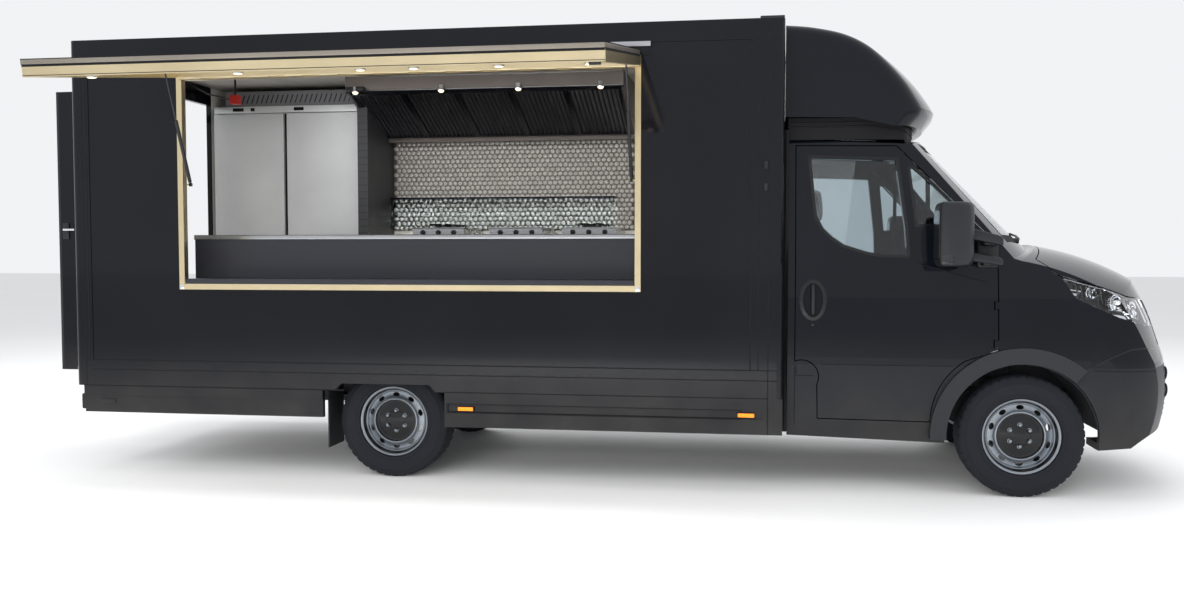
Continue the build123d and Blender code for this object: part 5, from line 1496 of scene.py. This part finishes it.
def build_fridge_trims():
    """Control strip, louvres and dark gaps of the fridge, what hangs over it, and the column beside it."""
    low, high = span("fridge")
    door_low, door_high = span("fridge_door_rear")
    middle = (low.x + high.x) / 2
    front_y = 0.550
    piece = Piece("fridge_trims")
    piece.block(
        (low.x + 0.004, high.x - 0.004), (front_y - 0.001, front_y + 0.06),
        (door_high.z + 0.006, high.z - 0.002), STEEL_UP, 0.003
    )
    for x, half in ((middle - 0.385, 0.045), (middle - 0.265, 0.016), (middle + 0.115, 0.040)):
        piece.block(
            around(x, half), (front_y - 0.003, front_y), (door_high.z + 0.020, door_high.z + 0.046),
            GLOSS, 0.002
        )
    piece.block((low.x + 0.06, high.x), (0.62, 1.05), (high.z, high.z + 0.125), GREY, 0.006)
    for index in range(26):
        x = low.x + 0.12 + index * 0.04
        rows = [
            (x, high.z + 0.030), (x + 0.006, high.z + 0.030), (x + 0.030, high.z + 0.095),
            (x + 0.024, high.z + 0.095)
        ]
        piece.prism(rows, "y", 0.612, 0.622, DASH, 0)
    piece.block(
        around(middle, 0.011), (front_y + 0.020, front_y + 0.054), (door_low.z, door_high.z),
        RUBBER, 0.003
    )
    piece.block(
        (high.x - 0.002, high.x + 0.008), (front_y + 0.06, front_y + 0.10), (door_low.z, high.z), RUBBER,
        0.002
    )
    piece.block((-5.414, -5.347), (0.165, 0.235), (2.516, 2.584), RED_BOX, 0.006)
    piece.tube([(-5.38, 0.20, 2.584), (-5.38, 0.20, CEILING - 0.01)], 0.008, SATIN, 10)
    piece.tube([(-5.414, 0.20, 2.55), (-5.60, 0.20, 2.60), (-5.78, 0.20, CEILING - 0.02)], 0.006, SATIN, 10)
    piece.put("truck", "fridge")
    low, high = span("service_column")
    column = Piece("column_lines")
    for index in range(18):
        z = 1.56 + index * 0.052
        column.block(
            (low.x + 0.002, high.x - 0.002), (low.y - 0.0008, low.y + 0.002), (z, z + 0.003), RUBBER, 0.0004
        )
    column.put("truck", "service_column")


def build_stove():
    """Steel tops, knobs, burners and pan rests of the cooking units."""
    piece = Piece("stove_trims")
    for x in (-3.9, -3.3, -2.75):
        piece.block(around(x, 0.201), (0.469, 1.001), (1.590, 1.6012), STEEL, 0.003)
        for k in range(3):
            centre = (x - 0.12 + k * 0.12, 0.4695, 1.563)
            piece.lathe(
                [
                    (0.019, 0.0), (0.019, 0.006), (0.015, 0.010), (0.014, 0.028), (0.012, 0.030),
                    (0.002, 0.031)
                ],
                SATIN, centre, "y", -1, 20
            )
    for x in (-3.9, -2.75):
        for y in (0.60, 0.86):
            piece.lathe(
                [(0.060, 0.0), (0.058, 0.010), (0.030, 0.014), (0.004, 0.014)], IRON, (x, y, 1.601), "z", 1,
                28
            )
            for k in range(4):
                angle = k * pi / 2 + pi / 4
                start = (x + 0.03 * cos(angle), y + 0.03 * sin(angle), 1.625)
                stop = (x + 0.115 * cos(angle), y + 0.115 * sin(angle), 1.625)
                foot = (x + 0.118 * cos(angle), y + 0.118 * sin(angle), 1.601)
                piece.tube([start, stop, foot], 0.006, IRON, 6)
    piece.put("truck", "back_counter")


# Rear, lamps and underside

def build_lamps():
    """Side markers, rear clusters and a blank plate."""
    piece = Piece("lamps")
    for side in (-1, 1):
        face = side * BOX_HALF
        for x in (-3.257, -1.567):
            piece.block(
                around(x, 0.053), (face - side * 0.013, face + side * 0.001), (0.446, 0.476), SATIN,
                0.004
            )
            piece.block(
                around(x, 0.048), (face - side * 0.008, face + side * 0.0038), (0.449, 0.473), AMBER,
                0.005
            )
            for k in range(9):
                rib = x - 0.040 + k * 0.010
                piece.block(
                    around(rib, 0.0015), (face + side * 0.003, face + side * 0.0044),
                    (0.452, 0.470), AMBER, 0.0006
                )
        piece.block(
            (-5.684, -5.576), (face - side * 0.012, face - side * 0.006), (0.446, 0.476), SATIN, 0.003
        )
        rear = BOX_LOW.x
        y_mid = side * 0.995
        piece.block((rear - 0.006, rear), around(y_mid, 0.068), (0.572, 0.703), SATIN, 0.003)
        # Columns: height, material, radius
        for z, material, radius in ((0.668, RED, 0.026), (0.628, AMBER, 0.015), (0.598, CLEAR, 0.013)):
            for y in around(y_mid, 0.030):
                piece.lathe(
                    [(radius + 0.003, 0.0), (radius + 0.003, 0.010), (radius, 0.012), (radius * 0.96, 0.010)],
                    CHROME, (rear - 0.004, y, z), "x", -1, 28
                )
                piece.lathe(
                    [(radius, 0.004), (radius, 0.012), (radius * 0.8, 0.018), (radius * 0.1, 0.0195)],
                    material, (rear - 0.004, y, z), "x", -1, 28
                )
    rear = BOX_LOW.x
    piece.block((rear - 0.004, rear), (-0.765, -0.235), (0.570, 0.695), SATIN, 0.003)
    piece.block((rear - 0.006, rear - 0.003), (-0.755, -0.245), (0.578, 0.687), PANEL, 0.001)
    piece.put("truck", "marker_lamps", ["marker_lamps"])


LEVER_Z = 1.58


def build_rear_door_trims():
    """Seal, latch, levers and inner panel of the open rear door, and the sill strip."""
    piece = Piece("rear_door_trims")
    body_low_y, body_high_y = -0.1225, -0.0775
    x_free = span("rear_door")[0].x
    x_hinge = -5.90
    corners = rectangle((x_free + 0.052, x_hinge - 0.045), (0.690, 2.535))
    piece.tube([(x, body_high_y + 0.002, z) for x, z in corners], 0.007, RUBBER, 8, closed=True)
    piece.block(
        (x_free, x_free + 0.02), (body_low_y - 0.0005, body_high_y + 0.0005), (0.56, 2.58), SATIN, 0.003
    )
    piece.block(
        (x_free + 0.065, x_hinge - 0.058), (body_high_y, body_high_y + 0.003), (0.705, 2.52), PANEL, 0.002
    )
    piece.block(
        (x_free + 0.035, x_free + 0.085), (body_low_y - 0.010, body_low_y), (1.51, 1.63), SATIN, 0.004
    )
    for face, out in ((body_low_y, -1), (body_high_y + 0.003, 1)):
        stem = (x_free + 0.06, face + out * 0.034, LEVER_Z)
        piece.tube(
            [(x_free + 0.06, face, LEVER_Z), stem, (x_free + 0.15, face + out * 0.036, LEVER_Z)], 0.008,
            CHROME, 12
        )
    piece.put("rear_door", "rear_door")
    jamb = Piece("rear_jamb")
    door_y = (-0.055, 0.62)
    rear = BOX_LOW.x
    jamb.block((rear + 0.048, rear + 0.090), door_y, (0.6605, 0.664), ALUMINIUM, 0.001)
    jamb.put("truck", "wall_rear")


def build_roof_trims():
    """Roof vent with its slots, and the joint lines of the roof."""
    piece = Piece("roof_trims")
    top = BOX_HIGH.z
    piece.block((-3.915, -3.285), (0.285, 0.815), (top + 0.078, top + 0.0895), SATIN, 0.005)
    for index in range(6):
        x = -3.86 + index * 0.104
        for y in ((0.2985, 0.3005), (0.7995, 0.8015)):
            piece.block(around(x, 0.03), y, (top + 0.02, top + 0.05), RUBBER, 0.0008)
    for y in (-0.974, 0.974):
        piece.block(
            (BOX_LOW.x + 0.13, BOX_HIGH.x - 0.19), around(y, 0.004), (top - 0.0042, top - 0.0005),
            RUBBER, 0.001
        )
    piece.put("truck", "box_roof")


def build_underside():
    """Tank straps, dampers and exhaust."""
    piece = Piece("underside_trims")
    for x in (-2.5, -2.1):
        piece.block(around(x, 0.02), (-0.962, -0.478), (0.3485, 0.352), ALUMINIUM, 0.001)
        piece.block(around(x, 0.02), (-0.9625, -0.959), (0.39, 0.50), ALUMINIUM, 0.001)
    for side in (-1, 1):
        piece.tube(
            [(REAR_AXLE_X + 0.17, side * 0.60, 0.36), (REAR_AXLE_X + 0.11, side * 0.44, 0.53)], 0.026,
            SATIN, 14
        )
        piece.tube(
            [(REAR_AXLE_X + 0.02, side * 0.62, 0.36), (REAR_AXLE_X + 0.17, side * 0.60, 0.36)], 0.012,
            SATIN, 10
        )
    pipe = [(-0.70, 0.25, 0.36), (-1.2, 0.30, 0.37), (-1.6, 0.33, 0.37)]
    piece.tube(pipe, 0.028, IRON, 16)
    rows = [(0.03, 0.0), (0.085, 0.03), (0.088, 0.08), (0.088, 0.62), (0.080, 0.67), (0.03, 0.70)]
    piece.lathe(rows, IRON, (-2.30, 0.33, 0.365), "x", 1, 32)
    piece.tube(
        [(-2.30, 0.33, 0.37), (-2.8, 0.33, 0.37), (-3.0, 0.60, 0.37), (-3.05, 0.90, 0.36)], 0.028, IRON, 16
    )
    piece.put("truck", "driveline")


# Cab inside

def seat_forms():
    """The seat solids of the frame, each as its own mesh."""
    form = bmesh.new()
    form.from_mesh(NODES["seats"].data)
    bmesh.ops.remove_doubles(form, verts=form.verts, dist=0.00001)
    bmesh.ops.translate(form, vec=-SHIFT, verts=form.verts)
    left = set(form.verts)
    result = []
    while left:
        group = {left.pop()}
        edge_of = list(group)
        while edge_of:
            vert = edge_of.pop()
            for edge in vert.link_edges:
                other = edge.other_vert(vert)
                if other in left:
                    left.discard(other)
                    group.add(other)
                    edge_of.append(other)
        result.append(([vert.co.copy() for vert in group], [
            [vert.co.copy() for vert in face.verts] for face in form.faces if face.verts[0] in group
        ]))
    form.free()
    result.sort(key=lambda item: (round(sum(co.y for co in item[0]) / len(item[0]), 3),
                                  round(sum(co.z for co in item[0]) / len(item[0]), 3)))
    return result


PAD_VOXEL = 0.016
PAD_CROWN = 0.010
CHANNEL_PITCH = 0.16


def build_seat(index, points, faces):
    """One seat pad: rounded, crowned, with sewn channels."""
    form = bmesh.new()
    found = {}
    for face in faces:
        ring = []
        for co in face:
            key = tuple(round(value, 5) for value in co)
            if key not in found:
                found[key] = form.verts.new(co)
            ring.append(found[key])
        try:
            form.faces.new(ring)
        except ValueError:
            continue
    obj = show(bpy.data.objects.new("pad_form", mesh_of(form, "pad_form")))
    remesh = obj.modifiers.new("remesh", "REMESH")
    remesh.mode = "VOXEL"
    remesh.voxel_size = PAD_VOXEL
    smooth = obj.modifiers.new("smooth", "SMOOTH")
    smooth.iterations = 9
    smooth.factor = 0.5
    soft = finished(obj)
    bpy.data.objects.remove(obj)
    low = Vector([min(co[i] for co in points) for i in range(3)])
    high = Vector([max(co[i] for co in points) for i in range(3)])
    size = high - low
    flat = size.z < size.x
    channels = max(2, round(size.y / CHANNEL_PITCH))
    for vert in soft.vertices:
        co = vert.co
        across = (co.y - low.y) / size.y
        long = (co.x - low.x) / size.x if flat else (co.z - low.z) / size.z
        crown = max(0.0, sin(pi * min(1, max(0, across)))) * max(0.0, sin(pi * min(1, max(0, long))))
        normal = vert.normal
        groove = abs(sin(pi * channels * across)) ** 0.35
        lift = PAD_CROWN * crown * (0.25 + 0.75 * groove)
        face_out = normal.z if flat else normal.x
        if face_out > 0.2:
            co += normal * (lift * face_out)
    piece = Piece("seat_pad_%d" % index)
    form = bmesh.new()
    form.from_mesh(soft)
    piece.take(form, CLOTH)
    piece.put("truck", "seats", ["seats"], sharp=80)


def build_cab_inside():
    """Seat pads, and the vents of the dashboard."""
    for index, (points, faces) in enumerate(seat_forms()):
        build_seat(index, points, faces)
    piece = Piece("dash_trims")
    skin = Skin("dashboard")
    for y in (-0.60, -0.10, 0.12, 0.74):
        spot = skin.hit((-1.0, y, 1.12), (1, 0, 0))
        if spot is None:
            continue
        piece.block(around(spot.x, 0.004), around(y, 0.055), (1.085, 1.155), SATIN, 0.003)
        for k in range(5):
            z = 1.094 + k * 0.013
            piece.block((spot.x - 0.008, spot.x), around(y, 0.050), (z, z + 0.003), GLOSS, 0.001)
    piece.put("truck", "dashboard")


# Picture

CAMERA_PLACE = Vector((-1.4668, -7.498, 1.4134))
CAMERA_YAW = 0.1567
CAMERA_PITCH = 0.0487
CAMERA_LENS = 36 * 1091 / 1184


def build_camera():
    """The camera at the photograph's place."""
    data = bpy.data.cameras.new("camera")
    data.lens = CAMERA_LENS
    data.sensor_width = 36
    data.clip_end = 200
    camera = show(bpy.data.objects.new("camera", data))
    right = Vector((cos(CAMERA_YAW), sin(CAMERA_YAW), 0))
    ahead = Vector((
        -sin(CAMERA_YAW) * cos(CAMERA_PITCH), cos(CAMERA_YAW) * cos(CAMERA_PITCH), -sin(CAMERA_PITCH),
    ))
    up = right.cross(ahead)
    turn = Matrix((right, up, -ahead)).transposed().to_4x4()
    camera.matrix_world = Matrix.Translation(CAMERA_PLACE + SHIFT) @ turn
    bpy.context.scene.camera = camera


def build_floor():
    """Plain pale floor."""
    form = bmesh.new()
    bmesh.ops.create_grid(form, x_segments=8, y_segments=8, size=60)
    data = mesh_of(form, "floor")
    floor = show(bpy.data.objects.new("floor", data))
    finish = Finish("floor_pale", linear(238, 238, 238), linear(241, 241, 241), 0.7)
    data.materials.append(finish.tones(0.4).material)


WORLD_LIGHT = 0.84
BACKDROP_LIGHT = 0.95
MIDDLE = (-2.5, 0, 1.0)
# Columns: name, place, size, power in watts, what it aims at
LAMPS = [
    ("key", (-4.5, -9.5, 6.5), (9, 5), 480, MIDDLE),
    ("front", (6.5, -5.5, 4.5), (5, 4), 200, MIDDLE),
    ("top", (-2.5, 0.5, 9.0), (9, 5), 320, MIDDLE),
    ("back", (-3.0, 9.0, 5.5), (9, 4), 300, MIDDLE),
    ("rear", (-12.0, -1.0, 4.5), (5, 4), 190, MIDDLE),
    ("hatch_fill", (-3.6, -9.0, 2.1), (5, 1.6), 420, (-3.6, 0.5, 1.9)),
    ("ceiling_fill", (-3.6, -0.35, 2.69), (2.7, 0.7), 55, (-3.6, -0.1, 0)),
]


def build_light():
    """Plain soft lights and a pale surrounding."""
    for name, place, size, power, aim in LAMPS:
        data = bpy.data.lights.new(name, "AREA")
        data.shape = "RECTANGLE"
        data.size, data.size_y = size
        data.energy = power
        lamp = show(bpy.data.objects.new(name, data))
        lamp.location = Vector(place) + SHIFT
        lamp.rotation_euler = (Vector(aim) - Vector(place)).to_track_quat("-Z", "Y").to_euler()
        lamp.visible_camera = False
        lamp.visible_glossy = False
    world = bpy.data.worlds.new("world")
    bpy.context.scene.world = world
    world.use_nodes = True
    tree = world.node_tree
    back = tree.nodes["Background"]
    back.inputs["Color"].default_value = (0.93, 0.94, 0.96, 1)
    path = tree.nodes.new("ShaderNodeLightPath")
    seen = tree.nodes.new("ShaderNodeMath")
    seen.operation = "MAXIMUM"
    tree.links.new(path.outputs["Is Camera Ray"], seen.inputs[0])
    both = tree.nodes.new("ShaderNodeMath")
    both.operation = "MAXIMUM"
    tree.links.new(path.outputs["Is Glossy Ray"], both.inputs[0])
    tree.links.new(path.outputs["Is Transmission Ray"], both.inputs[1])
    tree.links.new(both.outputs[0], seen.inputs[1])
    level = tree.nodes.new("ShaderNodeMapRange")
    level.inputs["To Min"].default_value = WORLD_LIGHT
    level.inputs["To Max"].default_value = BACKDROP_LIGHT
    tree.links.new(seen.outputs[0], level.inputs["Value"])
    tree.links.new(level.outputs["Result"], back.inputs["Strength"])
    bpy.context.scene.view_settings.view_transform = "Standard"


STEPS = (
    build_camera, build_floor, build_light, dress_nodes, build_wheels, build_door_trims,
    build_door_jambs, build_fuel_flap, build_screen_trims, build_headlamps, build_bumper_trims,
    build_mirrors, build_fairing, build_box_trims, build_linings, build_hatch_trims,
    build_lid_trims, build_kitchen_front, build_tiles, build_hood_trims, build_fridge_trims,
    build_stove, build_lamps, build_rear_door_trims, build_roof_trims, build_underside,
    build_cab_inside,
)
for step in STEPS:
    step()
